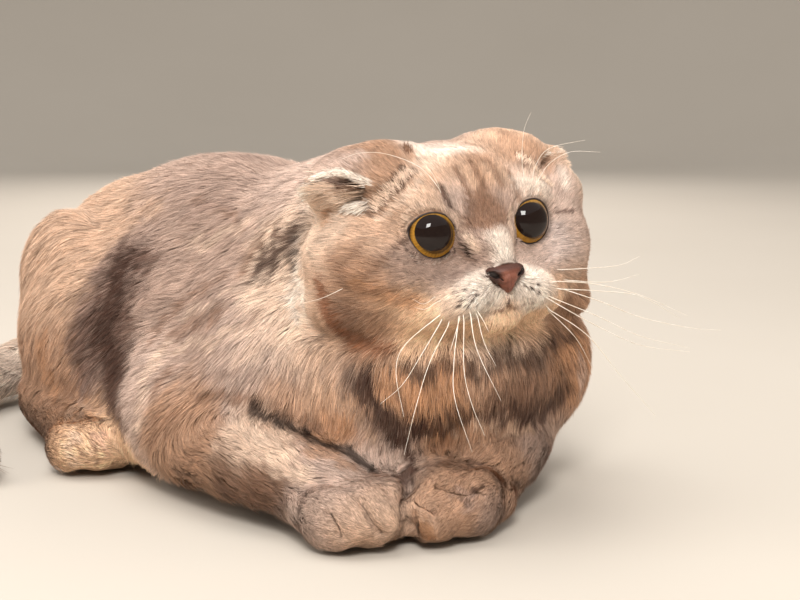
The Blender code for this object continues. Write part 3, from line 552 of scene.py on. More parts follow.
def fromEye(points, side):
    axes, centre = eyeAxes(side)
    a = math.radians(eyePlan["slant"])
    u, w = points[:, 0], points[:, 2]
    x = (u * math.cos(a) - w * math.sin(a)) * side
    z = u * math.sin(a) + w * math.cos(a)
    return np.stack([x, -points[:, 1], z], axis=1) @ axes.T + centre


def lidCurve(angles):
    # The edge of the lids: a round opening drawn out to a point at the inner corner
    c, s = np.cos(angles), np.sin(angles)
    high = np.where(s > 0, eyePlan["up"], eyePlan["down"])
    inner = np.clip((-c - 0.62) / 0.38, 0, 1) ** 2
    outer = np.clip((c - 0.80) / 0.20, 0, 1) ** 2
    u = eyePlan["wide"] * c - eyePlan["corner"] * inner + 0.5 * outer
    return np.stack([u, high * s * (1 - 0.12 * inner) - eyePlan["dip"] * inner], axis=1)


lidAngles = np.linspace(-math.pi, math.pi, 361)
lidEdge = lidCurve(lidAngles)
lidOrder = np.argsort(np.arctan2(lidEdge[:, 1], lidEdge[:, 0]))
lidPolar = np.arctan2(lidEdge[:, 1], lidEdge[:, 0])[lidOrder]
lidReach = np.linalg.norm(lidEdge, axis=1)[lidOrder]


def lidShare(eye):
    # 1 on the edge of the lids, less inside the opening
    reach = np.interp(np.arctan2(eye[:, 2], eye[:, 0]), lidPolar, lidReach, period=2 * math.pi)
    return np.hypot(eye[:, 0], eye[:, 2]) / reach


# Soft masses under the coat, fused in with the solids: place and radii, in mm on the head or metres on the body
headMasses = [((0, -45.0, -26.0), (4.5, 4.8, 5.0)), ((54, -10, -37), (8.5, 12, 12)), ((-50, -2.0, 19.5), (10, 9, 7.5)), ((49, -2.0, 19.5), (10, 10, 8.5))]
bodyMasses = [
    ((-0.0275, -0.1490, 0.0100), (0.0125, 0.0115, 0.0100)), ((-0.013, -0.1525, 0.0105), (0.0135, 0.0110, 0.0105)),
    ((0.004, -0.1470, 0.0120), (0.0150, 0.0120, 0.0120)), ((0.020, -0.1360, 0.0135), (0.016, 0.0115, 0.0130)),
    ((-0.0555, -0.113, 0.0150), (0.0178, 0.0175, 0.0137)),
    ((-0.049, 0.098, 0.075), (0.023, 0.041, 0.042)), ((0.049, 0.098, 0.075), (0.023, 0.041, 0.042)),
]


def fuseNodes():
    # All solids, a little swollen so that the parting gaps close, fused to one fine mesh
    points, faces, start = [], [], 0
    masses = [(Vector(place), radii, None) for place, radii in bodyMasses]
    masses += [(Vector(fromHead([place])[0]), np.array(radii) * mm, headAxes) for place, radii in headMasses]
    for place, radii, axes in masses:
        bm = bmesh.new()
        turn = Matrix(axes.tolist()).to_4x4() if axes is not None else Matrix.Identity(4)
        bmesh.ops.create_uvsphere(bm, u_segments=32, v_segments=20, radius=1,
                                  matrix=Matrix.Translation(place) @ turn @ Matrix.Diagonal((*radii, 1)))
        points += [v.co.copy() for v in bm.verts]
        faces += [[v.index + start for v in f.verts] for f in bm.faces]
        start += len(bm.verts)
        bm.free()
    for name in sorted(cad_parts):
        bm = bmesh.new()
        bm.from_mesh(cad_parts[name].data)
        bmesh.ops.remove_doubles(bm, verts=bm.verts, dist=1e-6)
        bm.normal_update()
        swell = 0 if name == "nose" else skinPlan["closeGaps"]
        points += [v.co + v.normal * swell for v in bm.verts]
        faces += [[v.index + start for v in f.verts] for f in bm.faces]
        start += len(bm.verts)
        bm.free()
    mesh = bpy.data.meshes.new("skin")
    mesh.from_pydata(points, [], faces)
    obj = bpy.data.objects.new("skin", mesh)
    bpy.context.scene.collection.objects.link(obj)
    fuse = obj.modifiers.new("fuse", "REMESH")
    fuse.mode = "VOXEL"
    fuse.voxel_size = skinPlan["cell"]
    ease = obj.modifiers.new("ease", "SMOOTH")
    ease.factor = 0.5
    ease.iterations = skinPlan["soften"]
    bpy.context.view_layer.update()
    mesh = bpy.data.meshes.new_from_object(obj.evaluated_get(bpy.context.evaluated_depsgraph_get()))
    bpy.data.objects.remove(obj, do_unlink=True)
    return mesh


def keepLargest(bm):
    bm.verts.ensure_lookup_table()
    seen = np.zeros(len(bm.verts), bool)
    groups = []
    for start in bm.verts:
        if seen[start.index]:
            continue
        seen[start.index] = True
        group, queue = [start], [start]
        while queue:
            for edge in queue.pop().link_edges:
                for vert in edge.verts:
                    if not seen[vert.index]:
                        seen[vert.index] = True
                        group.append(vert)
                        queue.append(vert)
        groups.append(group)
    groups.sort(key=len, reverse=True)
    bmesh.ops.delete(bm, geom=[v for group in groups[1:] for v in group], context="VERTS")


def refine(bm, place, reach):
    # Halves the faces round one place
    place = Vector(place)
    near = {v for v in bm.verts if (v.co - place).length < reach * mm}
    edges = [e for e in bm.edges if e.verts[0] in near and e.verts[1] in near]
    bmesh.ops.subdivide_edges(bm, edges=edges, cuts=1, use_grid_fill=True)


skinMesh = fuseNodes()
bm = bmesh.new()
bm.from_mesh(skinMesh)
keepLargest(bm)
for place, reach in fineHead:
    refine(bm, fromHead([place])[0], reach)
for place, reach in finePaws:
    refine(bm, place, reach)
bmesh.ops.triangulate(bm, faces=[f for f in bm.faces if len(f.verts) > 4])
bm.to_mesh(skinMesh)
bm.free()
skinMesh.name = "skin"
skin = bpy.data.objects.new("skin", skinMesh)
bpy.context.scene.collection.objects.link(skin)
print("skin fused:", len(skinMesh.vertices), "points")


def meshPoints(mesh):
    points = np.empty(len(mesh.vertices) * 3)
    mesh.vertices.foreach_get("co", points)
    return points.reshape(-1, 3)


def meshNormals(mesh):
    normals = np.empty(len(mesh.vertices) * 3)
    mesh.vertices.foreach_get("normal", normals)
    return normals.reshape(-1, 3)


skinEdges = np.empty(len(skinMesh.edges) * 2, int)
skinMesh.edges.foreach_get("vertices", skinEdges)
skinEdges = skinEdges.reshape(-1, 2)
edgeCount = np.bincount(skinEdges.ravel(), minlength=len(skinMesh.vertices))


def spread(values, rounds, share=0.5):
    # Evens out numbers kept on the skin's points
    values = np.asarray(values, float)
    flat = values.reshape(len(values), -1)
    for _ in range(rounds):
        total = np.zeros_like(flat)
        for k in range(flat.shape[1]):
            total[:, k] = (np.bincount(skinEdges[:, 0], flat[skinEdges[:, 1], k], len(flat))
                           + np.bincount(skinEdges[:, 1], flat[skinEdges[:, 0], k], len(flat)))
        flat = flat + share * (total / edgeCount[:, None] - flat)
    return flat.reshape(values.shape)


# Which solid each point of the skin belongs to
solidNames = [n for n in sorted(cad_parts) if not n.startswith("eye") and n != "nose"]
solidPoints, solidFaces, solidOwner = [], [], []
for number, name in enumerate(solidNames):
    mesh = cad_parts[name].data
    start = len(solidPoints)
    solidPoints += [v.co.copy() for v in mesh.vertices]
    solidFaces += [[v + start for v in f.vertices] for f in mesh.polygons]
    solidOwner += [number] * len(mesh.polygons)
solidTree = BVHTree.FromPolygons(solidPoints, solidFaces)
outer = meshPoints(skinMesh)
outerNormals = unit(spread(meshNormals(skinMesh), 4))
owner = np.array([solidOwner[solidTree.find_nearest(p)[2]] for p in outer.tolist()])
ownerNames = np.array(solidNames)[owner]

# Coat of each part: depth mm, hair length mm, share of tufts, width mm, spacing of locks mm
coatPlan = {
    "head": (2.6, 7.0, 10.0, 0.17, 1.5),
    "ear": (1.3, 4.6, 10.0, 0.16, 1.2),
    "neck": (4.2, 11.0, 3.8, 0.22, 2.1),
    "torso": (4.6, 12.0, 3.6, 0.23, 2.4),
    "upper": (4.4, 11.5, 3.8, 0.22, 2.2),
    "foreleg": (3.6, 9.5, 4.4, 0.20, 1.9),
    "forepaw": (3.0, 8.0, 5.0, 0.19, 1.7),
    "haunch": (4.6, 12.0, 3.4, 0.23, 2.4),
    "hind": (1.6, 4.8, 5.0, 0.18, 1.3),
    "tail": (4.4, 11.5, 3.0, 0.23, 2.3),
}
toePlan = {"places": [(-0.060, -0.142, 0.013), (-0.022, -0.156, 0.018)], "near": 0.017, "far": 0.034,
           "coat": (1.0, 3.0, 10.0, 0.15, 0.9)}
# The same five numbers at places on the face: place, reach, numbers
facePlan = [
    ((0, -50, -17), 5, (0.5, 1.3, 16, 0.12, 0.7)),
    ((0, -46, -6), 6, (0.8, 2.4, 15, 0.13, 0.8)),
    ((0, -39, 3), 7, (1.0, 3.2, 14, 0.14, 0.9)),
    ((12, -48, -24), 7, (1.2, 3.4, 14, 0.14, 0.9)),
    ((24, -42, -30), 7, (1.8, 5.0, 12, 0.15, 1.1)),
    ((0, -46, -36), 7, (1.4, 3.8, 12, 0.15, 1.0)),
    ((12, -40, -41), 8, (2.4, 6.5, 9, 0.16, 1.4)),
    ((21, -34, 0), 13, (0.9, 2.8, 14, 0.13, 0.9)),
    ((26, -35, -16), 9, (1.6, 4.4, 12, 0.15, 1.1)),
    ((22, -29, 18), 9, (1.6, 4.8, 12, 0.15, 1.1)),
    ((0, -30, 22), 12, (1.6, 4.8, 12, 0.15, 1.1)),
    ((42, -26, 2), 10, (2.0, 5.8, 10, 0.16, 1.3)),
    ((42, -29, -22), 10, (2.4, 7.0, 10, 0.16, 1.4)),
    ((38, -19, 18), 8, (1.8, 6.0, 9, 0.16, 1.4)),
    ((58, -12, -20), 14, (3.2, 9.0, 7, 0.18, 1.8)),
    ((45, -12, -38), 12, (3.6, 10.0, 7, 0.18, 1.9)),
    ((0, -5, 36), 16, (2.2, 7.0, 9, 0.17, 1.5)),
]

skinLocal = toHead(outer)
planTable = np.array([coatPlan[next(k for k in coatPlan if n.startswith(k))] for n in solidNames])
coat = planTable[owner]
isHead = np.isin(ownerNames, ["head"])
total = np.full((len(outer), 1), 0.03)
mixed = total * coat
for (x, y, z), reach, numbers in facePlan:
    for side in ((1, -1) if x else (1,)):
        share = np.exp(-np.sum((skinLocal - np.array([x * side, y, z])) ** 2, axis=1) / reach**2)[:, None]
        mixed += share * np.array(numbers)
        total += share
coat[isHead] = (mixed / total)[isHead]
toeGap = np.min([np.linalg.norm(outer - np.array(p), axis=1) for p in toePlan["places"]], axis=0)
toeShare = (1 - smooth(toeGap, toePlan["near"], toePlan["far"])) * [n.startswith("forepaw") for n in ownerNames]
coat += toeShare[:, None] * (np.array(toePlan["coat"]) - coat)
coat = spread(coat, 9)
print("coat planned")

# The lie of the coat: places along the right side and which way the hair points there
comb = [
    ((0, -0.040, 0.146), (0, 1, -0.1)), ((0, 0.040, 0.147), (0, 1, -0.1)), ((0, 0.110, 0.130), (0, 0.9, -0.5)),
    ((0, 0.160, 0.080), (0, 0.4, -1)), ((0, 0.150, 0.040), (0, 0.6, -0.8)),
    ((0.045, -0.060, 0.120), (0.3, 0.8, -0.6)), ((0.058, -0.070, 0.090), (0.2, 0.6, -0.8)),
    ((0.045, 0.010, 0.125), (0.5, 0.8, -0.5)), ((0.064, 0.000, 0.080), (0.1, 0.85, -0.55)),
    ((0.068, -0.010, 0.045), (0, 0.75, -0.65)), ((0.065, -0.060, 0.060), (0.1, 0.55, -0.8)),
    ((0.050, -0.095, 0.075), (0.2, 0.1, -1)), ((0.058, -0.080, 0.045), (0.1, 0.25, -0.9)),
    ((0.072, 0.045, 0.085), (0.2, 0.7, -0.6)), ((0.076, 0.050, 0.050), (0.1, 0.45, -0.9)),
    ((0.060, 0.110, 0.080), (0.2, 0.5, -0.9)), ((0.072, 0.100, 0.040), (0, 0.3, -1)),
    ((0, -0.150, 0.075), (0, -0.1, -1)), ((0, -0.145, 0.045), (0, 0.1, -1)),
    ((0.045, -0.140, 0.065), (0.25, 0, -1)), ((0.080, -0.110, 0.050), (0.2, 0.5, -0.8)),
    ((0, -0.060, 0.110), (0, 1, -0.3)),
]
limbPaths = {
    "foreleg_right": [(-0.058, -0.024, 0.029), (-0.0585, -0.062, 0.027), (-0.055, -0.092, 0.0215),
                      (-0.050, -0.125, 0.015), (-0.047, -0.155, 0.010)],
    "foreleg_left": [(0.064, -0.060, 0.030), (0.062, -0.095, 0.027), (0.036, -0.122, 0.0245),
                     (0.005, -0.133, 0.018), (-0.025, -0.137, 0.010)],
    "hind_foot_right": [(-0.058, 0.115, 0.018), (-0.068, 0.080, 0.015), (-0.0735, 0.050, 0.012),
                        (-0.070, 0.015, 0.008)],
    "hind_foot_left": [(0.058, 0.115, 0.018), (0.068, 0.080, 0.015), (0.0735, 0.050, 0.012),
                       (0.070, 0.015, 0.008)],
    "tail": [(0, 0.120, 0.050), (-0.006, 0.155, 0.034), (-0.040, 0.180, 0.018), (-0.085, 0.165, 0.0155),
             (-0.115, 0.125, 0.0145), (-0.128, 0.080, 0.0135), (-0.126, 0.030, 0.0120)],
}
noseTip = np.array([0, -53, -15])


def alongPath(points, path):
    path = bezierPath(path, 60)
    spots = KDTree(len(path))
    for i, p in enumerate(path):
        spots.insert(p, i)
    spots.balance()
    nearest = np.array([min(spots.find(p)[1], len(path) - 2) for p in points.tolist()], int)
    return unit(path[nearest + 1] - path[nearest])


def lie(points):
    # Which way the hair points, before it is laid flat on the skin
    total = np.zeros((len(points), 3))
    for place, aim in comb:
        for side in ((1, -1) if place[0] else (1,)):
            flip = np.array([side, 1, 1])
            share = np.exp(-np.sum((points - np.array(place) * flip) ** 2, axis=1) / 0.028**2)
            total += share[:, None] * unit(np.array(aim, float)) * flip
    aims = unit(total + 1e-6 * np.array([0, 1, -0.5]))
    local = toHead(points)
    away = unit(local - noseTip)
    away[:, 2] -= 0.75 * smooth(-local[:, 2], 18, 36) * smooth(-local[:, 1], -5, 15)
    away[:, 1] += 0.35 * smooth(-local[:, 2], 5, 25)
    for side in sides.values():
        axes, centre = eyeAxes(side)
        offset = local - centre
        d = np.linalg.norm(offset, axis=1)
        away += (1.1 * (1 - smooth(d, 13.5, 21)))[:, None] * unit(offset)
    face = unit(away) @ headAxes.T
    share = 1 - smooth(local[:, 1], 4, 34)
    isFace = np.isin(ownerNames, ["head", "ear_left", "ear_right"])
    share = share * isFace
    aims = aims * (1 - share[:, None]) + face * share[:, None]
    for name in ("foreleg_right", "foreleg_left", "hind_foot_right", "hind_foot_left", "tail"):
        heads = (name, name.replace("foreleg", "forepaw"))
        chosen = np.flatnonzero([n.startswith(heads) for n in ownerNames])
        aims[chosen] = alongPath(points[chosen], limbPaths[name])
    return unit(aims)


def laidFlat(aims, normals):
    return unit(aims - np.sum(aims * normals, axis=1)[:, None] * normals)


flow = laidFlat(lie(outer), outerNormals)
for _ in range(6):
    flow = laidFlat(spread(flow, 4), outerNormals)

# The skin is set in by the depth of the coat, then shaped round the eyes
pressed = np.zeros(len(outer))
shaved = np.ones(len(outer))
for deep, wide, half, path in clefts:
    d = lineDistance(outer, path)[0] / mm
    pressed = np.maximum(pressed, deep * mm * (1 - smooth(d, 0.2 * wide, wide)))
    shaved = np.minimum(shaved, 0.03 + 0.97 * smooth(d, 0.6 * half, 1.5 * half))
inner = spread(outer - outerNormals * ((coat[:, 0] + 0.35) * mm)[:, None], 2)
inner -= outerNormals * pressed[:, None]
local = toHead(inner)
nosePit = np.hypot(local[:, 0] / 8.0, (local[:, 2] + 16.8) / 6.2) + 9.0 * (local[:, 1] > -38)
local[:, 1] += 3.0 * (1 - smooth(nosePit, 0.55, 0.95))
eyeShares = {}
for sideName, side in sides.items():
    eye = toEye(local, side)
    share = lidShare(eye)
    infront = eye[:, 1] > 0
    d = np.linalg.norm(eye, axis=1)
    near = infront & (share < 2.2) & (d < 24)
    inside = near & (share < 1.0)
    # The lid rides on the ball and thins to its edge. Inside the opening the skin goes behind the ball
    lidHeight = eyePlan["radius"] + 0.4 + 1.2 * smooth(share, 1.0, 1.5)
    onBall = near & (share >= 1.0) & (share < 1.9)
    wanted = np.where(onBall, np.maximum(d, lidHeight), d)
    ease = 1 - smooth(share, 1.45, 1.9)
    wanted = np.where(onBall & (share < 1.5), lidHeight * ease + wanted * (1 - ease), wanted)
    wanted = np.where(inside, eyePlan["radius"] - 2.2 * smooth(1 - share, -0.02, 0.10), wanted)
    eye *= (wanted / np.maximum(d, 1e-6))[:, None]
    moved = fromEye(eye, side)
    local[near] = moved[near]
    eyeShares[sideName] = np.where(infront & (d < 22), share, 9.0)
skinPoints = fromHead(local)
skinPoints[:, 2] = np.maximum(skinPoints[:, 2], 0.0008)
skinMesh.vertices.foreach_set("co", skinPoints.ravel())
skinMesh.update()
skinNormals = unit(spread(meshNormals(skinMesh), 1))
print("skin set in")

# The skin's own unwrap, which every tuft's patch is placed on
bpy.context.view_layer.objects.active = skin
skin.select_set(True)
skinMesh.uv_layers.new(name="Unwrap")
bpy.ops.object.mode_set(mode="EDIT")
bpy.ops.mesh.select_all(action="SELECT")
bpy.ops.uv.smart_project(angle_limit=math.radians(70), island_margin=0.002)
bpy.ops.object.mode_set(mode="OBJECT")
skin.select_set(False)
print("skin unwrapped")

skinMesh.calc_loop_triangles()
triangles = np.empty(len(skinMesh.loop_triangles) * 3, int)
skinMesh.loop_triangles.foreach_get("vertices", triangles)
triangles = triangles.reshape(-1, 3)
corners = np.empty(len(triangles) * 3, int)
skinMesh.loop_triangles.foreach_get("loops", corners)
corners = corners.reshape(-1, 3)
unwrap = np.empty(len(skinMesh.loops) * 2)
skinMesh.uv_layers["Unwrap"].data.foreach_get("uv", unwrap)
unwrap = unwrap.reshape(-1, 2)

# Where no hair grows: the lids' edge, the nose leather and what lies on the floor
density = coat[:, 2].copy()
local = toHead(skinPoints)
for share in eyeShares.values():
    density *= smooth(share, 1.04, 1.10)
noseTree = BVHTree.FromObject(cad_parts["nose"], bpy.context.evaluated_depsgraph_get())
nearNose = np.flatnonzero(np.linalg.norm(local - noseTip, axis=1) < 18)
gap = np.array([noseTree.find_nearest(p)[3] for p in skinPoints[nearNose].tolist()])
density[nearNose] *= smooth(gap, 0.0002, 0.0007)
density *= shaved * smooth(nosePit, 0.80, 0.95)
density *= 1 - smooth(-skinNormals[:, 2], 0.45, 0.8) * smooth(0.018 - skinPoints[:, 2], 0.0, 0.008)
print("bare places kept")

# Tufts: slim kites of two faces, laid over one another along the body
tuftPlan = {"seed": 7, "stiff": 0.40, "gather": 0.22, "sway": 0.15, "rootToneAndShade": 0.42, "tipLight": 1.10,
            "paleTips": 0.26, "lockShade": 0.11, "hairShade": 0.17, "patch": 0.003, "amount": 1.0}
dice = np.random.default_rng(tuftPlan["seed"])
facePoints = skinPoints[triangles]
faceMiddle = facePoints.mean(axis=1)
faceLocal = toHead(faceMiddle)


def starting(*words):
    return np.array([n.startswith(words) for n in solidNames])[owner[triangles[:, 0]]]


onBack = starting("torso") & (faceMiddle[:, 1] >= -0.075)
# Each piece of the coat: thousands of tufts, and the skin's triangles that carry it
groups = {
    "coatFace": (92, starting("head") & (faceLocal[:, 1] < -26)),
    "coatCrown": (62, starting("head") & (faceLocal[:, 1] >= -26) & (faceLocal[:, 2] > 0)),
    "coatCheeks": (54, starting("head") & (faceLocal[:, 1] >= -26) & (faceLocal[:, 2] <= 0)),
    "coatEars": (42, starting("ear")),
    "coatNeck": (64, starting("neck", "upper")),
    "coatChest": (66, starting("torso") & (faceMiddle[:, 1] < -0.075)),
    "coatBackRight": (76, onBack & (faceMiddle[:, 0] < 0)),
    "coatBackLeft": (58, onBack & (faceMiddle[:, 0] >= 0)),
    "coatHaunches": (60, starting("haunch")),
    "coatForelegs": (82, starting("foreleg", "forepaw")),
    "coatHindFeet": (28, starting("hind")),
    "coatTail": (30, starting("tail")),
}
groupNames = list(groups)
area = 0.5 * np.linalg.norm(np.cross(facePoints[:, 1] - facePoints[:, 0], facePoints[:, 2] - facePoints[:, 0]),
                            axis=1) / mm**2
wanted = area * density[triangles].mean(axis=1)
faceGroup = np.zeros(len(triangles), int)
for number, (amount, inGroup) in enumerate(groups.values()):
    faceGroup[inGroup] = number
    wanted[inGroup] *= amount * 1000 * tuftPlan["amount"] / wanted[inGroup].sum()
number = np.floor(wanted + dice.random(len(wanted))).astype(int)
face = np.repeat(np.arange(len(triangles)), number)
r1, r2 = np.sqrt(dice.random(len(face))), dice.random(len(face))
weights = np.stack([1 - r1, r1 * (1 - r2), r1 * r2], axis=1)[:, :, None]


def atRoots(values):
    return np.sum(values[triangles[face]] * weights, axis=1)


roots = atRoots(skinPoints)
rootNormals = unit(atRoots(skinNormals))
rootFlow = laidFlat(atRoots(flow), rootNormals)
rootCoat = atRoots(coat)
rootUv = np.sum(unwrap[corners[face]] * weights, axis=1)
rootGroup = faceGroup[face]
count = len(roots)
print("tufts rooted:", count)

depth, length, _, width, lock = rootCoat.T
vary = dice.random((count, 6))
sideways = np.cross(rootFlow, rootNormals)
sway = (tuftPlan["sway"] * waves(roots, 0.011, 21) + tuftPlan["sway"] * 0.8 * waves(roots, 0.030, 22, 2)
        + 0.09 * dice.normal(size=count))
aim = unit(rootFlow * np.cos(sway)[:, None] + sideways * np.sin(sway)[:, None])
hairLength = length * mm * (0.74 + 0.46 * vary[:, 0])
rise = depth * mm * (0.78 + 0.30 * vary[:, 1]) * (1 + 0.07 * waves(roots, 0.009, 23))
rise *= np.where(vary[:, 2] > 0.97, 1.2, 1.0)
run = np.sqrt(np.maximum(hairLength**2 - rise**2, (0.3 * hairLength) ** 2))

# Locks: neighbours lean together towards their tips
perMm2 = (wanted / area)[face]
centre = np.flatnonzero(dice.random(count) < 1 / np.maximum(lock**2 * perMm2, 1.5))
locks = KDTree(len(centre))
for i, c in enumerate(centre):
    locks.insert(roots[c], i)
locks.balance()
lockOf = centre[[locks.find(p)[1] for p in roots.tolist()]]
gather = (roots[lockOf] - roots) * (tuftPlan["gather"] * (0.6 + 0.8 * vary[:, 3]))[:, None]
aim = laidFlat(unit(aim * 0.55 + aim[lockOf] * 0.45), rootNormals)
print("locks gathered:", len(centre))

# Tips follow the skin they lie over
skinTree = BVHTree.FromObject(skin, bpy.context.evaluated_depsgraph_get())
flatTip = roots + aim * run[:, None]
under = np.empty((count, 3))
over = np.empty((count, 3))
for i, p in enumerate(flatTip.tolist()):
    under[i], over[i] = skinTree.find_nearest(p)[:2]
plain = flatTip + rootNormals * rise[:, None]
followed = under + unit(over * 0.75 + rootNormals * 0.25) * rise[:, None]
trust = (np.sum(over * rootNormals, axis=1) > 0.1) & (np.linalg.norm(under - flatTip, axis=1) < run * 0.7)
tips = np.where(trust[:, None], followed, plain)
middles = (roots + aim * (run * 0.46)[:, None] + rootNormals * (rise * 0.74)[:, None] + gather * 0.35
           + (tips - plain) * 0.22)
tips += gather
roots = roots - rootNormals * 0.0003
tips[:, 2] = np.maximum(tips[:, 2], 0.0004)
middles[:, 2] = np.maximum(middles[:, 2], 0.0006)
print("tufts laid")

# Kites roll a little about their own line, so that some catch the light
roll = (vary[:, 4] - 0.5) * 1.1
halfWidths = width * mm * 0.5 * (0.75 + 0.5 * vary[:, 5])
kiteNormals = unit(rootNormals * 0.5 + np.where(trust[:, None], over, rootNormals) * 0.5)
kiteTones = coatTones(middles * 0.3 + tips * 0.7)
ticked = np.where(dice.random(count) < 0.10, 0.62, 1.0)
lockTone = (1 + tuftPlan["lockShade"] * dice.normal(size=count).clip(-2, 2)[lockOf]) * ticked
hairTone = 1 + tuftPlan["hairShade"] * dice.normal(size=count).clip(-2, 2)
kiteTones = kiteTones * (lockTone * hairTone)[:, None]
paleShare = tuftPlan["paleTips"] * np.clip(dice.random(count) * 1.6 - 0.5, 0, 1)
print("tufts coloured")


def coatLook():
    look = Look("coatHair")
    tone = look.node("ShaderNodeAttribute", {"attribute_name": "coatTone"})
    grain = look.noise(0.0011, 2.0).ramp(0.25, 0.75)
    colour = look.mix(0.5, tone, look.mix(grain, (0.84, 0.82, 0.80), (1.0, 1.0, 1.0)), "MULTIPLY")
    rough = 0.60 + 0.18 * look.noise(0.004, 2.0)
    return look.finish(Base_Color=colour, Roughness=rough, Specular_IOR_Level=0.18, Sheen_Weight=0.07,
                       Sheen_Roughness=0.45, Sheen_Tint=(1.0, 0.90, 0.80))


def skinLook():
    look = Look("coatSkin")
    tone = look.node("ShaderNodeAttribute", {"attribute_name": "coatTone"})
    fine = look.noise(0.0006, 4.0)
    fleck = look.noise(0.0016, 3.0).ramp(0.3, 0.7)
    colour = look.mix(1.0, tone, look.mix(fleck, (0.62, 0.58, 0.55), (1.0, 1.0, 1.0)), "MULTIPLY")
    bump = look.node("ShaderNodeBump", None, {"Height": fine, "Strength": 0.5, "Distance": 0.0006})
    return look.finish(Base_Color=colour, Roughness=0.62 + 0.25 * fine, Normal=bump, Specular_IOR_Level=0.3)


hairMaterial = coatLook()


def writeTones(mesh, values):
    layer = mesh.color_attributes.new("coatTone", "FLOAT_COLOR", "POINT")
    layer.data.foreach_set("color", np.ascontiguousarray(values, np.float32).ravel())


def kitePiece(name, roots, middles, tips, normals, rolls, halfs, colours, paleness, uvs):
    # One mesh of kites: root, two points at the middle, tip
    n = len(roots)
    lean = unit(np.cross(tips - roots, normals))
    upward = unit(np.cross(lean, tips - roots))
    across = lean * np.cos(rolls)[:, None] + upward * np.sin(rolls)[:, None]
    wide = across * halfs[:, None]
    points = np.stack([roots, middles + wide, tips, middles - wide], axis=1)
    facing = unit(unit(np.cross(across, tips - roots)) * tuftPlan["stiff"] + normals * (1 - tuftPlan["stiff"]))
    bright = colours.mean(axis=1, keepdims=True)
    tipTone = colours * tuftPlan["tipLight"]
    tipTone += paleness[:, None] * np.minimum(1, 0.25 + 2.1 * bright) * (np.array(tones["white"]) * 0.95 - tipTone)
    shades = np.ones((n, 4, 4), np.float32)
    # Roots darker: partly the hair's own banding, partly painted shade deep in the coat
    shades[:, 0, :3] = colours * tuftPlan["rootToneAndShade"]
    shades[:, 1, :3] = shades[:, 3, :3] = colours * 0.96
    shades[:, 2, :3] = tipTone
    mesh = bpy.data.meshes.new(name)
    mesh.vertices.add(n * 4)
    mesh.vertices.foreach_set("co", points.ravel())
    pattern = np.array([0, 1, 3, 1, 2, 3])
    mesh.loops.add(n * 6)
    mesh.loops.foreach_set("vertex_index", (pattern + 4 * np.arange(n)[:, None]).ravel())
    mesh.polygons.add(n * 2)
    mesh.polygons.foreach_set("loop_start", 3 * np.arange(n * 2))
    mesh.polygons.foreach_set("use_smooth", np.ones(n * 2, bool))
    mesh.update(calc_edges=True)
    spot = np.array([(0, 0), (0.5, 0.5), (0, 1), (-0.5, 0.5)])[pattern] * tuftPlan["patch"]
    patch = mesh.uv_layers.new(name="OFBake")
    patch.data.foreach_set("uv", (uvs[:, None, :] + spot[None]).astype(np.float32).ravel())
    writeTones(mesh, np.clip(shades, 0.003, 0.98).reshape(-1, 4))
    mesh.normals_split_custom_set_from_vertices(np.repeat(facing, 4, axis=0).tolist())
    mesh.materials.append(hairMaterial)
    piece = bpy.data.objects.new(name, mesh)
    bpy.context.scene.collection.objects.link(piece)
    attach(piece, "root")
    print(name, n * 2, "triangles")


for number, name in enumerate(groupNames):
    g = np.flatnonzero(rootGroup == number)
    kitePiece(name, roots[g], middles[g], tips[g], kiteNormals[g], roll[g], halfWidths[g], kiteTones[g],
              paleShare[g], rootUv[g])

# Long hair in the folded ears and the ragged edge beside the right one: a line of roots in head mm, where it
# points, length and width mm, number, tone, share of the length on the left ear
earTufts = [
    ([(-18.5, -6, 33.5), (-21, -10, 32)], (-0.20, -0.25, 0.95), 4.5, 0.24, 160, "brown", 0.0),
    ([(-43.0, -15, 20), (-44.5, -9, 18)], (-0.97, 0.16, 0.12), 11.0, 0.24, 300, "brown", 0.4),
    ([(-43.5, -15, 21.5), (-47, -8, 21)], (-0.96, 0.20, 0.18), 9.0, 0.20, 110, "darkBrown", 0.0),
    ([(-43.0, -15, 20), (-46, -8, 16)], (-0.95, 0.18, 0.06), 11.0, 0.26, 700, "cream", 0.5),
    ([(-47.0, -6, 20), (-55, -3, 22)], (-0.93, 0.25, 0.05), 9.0, 0.24, 420, "cream", 0.5),
    ([(-42.5, -15.5, 13.5), (-45, -9, 13)], (-0.88, 0.05, -0.22), 7.5, 0.28, 500, "white", 0.5),
    ([(-50.0, -6, 17), (-55, -2, 19)], (-0.92, 0.25, -0.12), 8.5, 0.24, 420, "cream", 0.6),
    ([(-57.0, -2, 23), (-59, 1, 17)], (-0.92, 0.30, -0.18), 8.5, 0.22, 300, "white", 0.5),
    ([(-44.0, -18, 22.6), (-52, -11.5, 27.6)], (-0.85, 0.30, 0.10), 4.0, 0.22, 420, "white", 0.8),
    ([(-52.0, -11.5, 27.6), (-60.5, -4, 25.5)], (-0.90, 0.35, -0.05), 4.0, 0.22, 320, "white", 0.8),
    ([(-24, -19, 24), (-33, -24, 19)], (-0.50, 0.15, 0.75), 5.0, 0.24, 420, "cream", 0.7),
    ([(-33, -24, 19), (-41, -20.5, 12)], (-0.70, 0.15, 0.55), 5.5, 0.24, 420, "cream", 0.7),
    ([(-24, -17, 26), (-38, -21, 16.5)], (-0.55, 0.15, 0.65), 4.5, 0.22, 260, "darkBrown", 0.6),
]
hairRoots, hairAims, hairLengths, hairWidths, hairTones = [], [], [], [], []
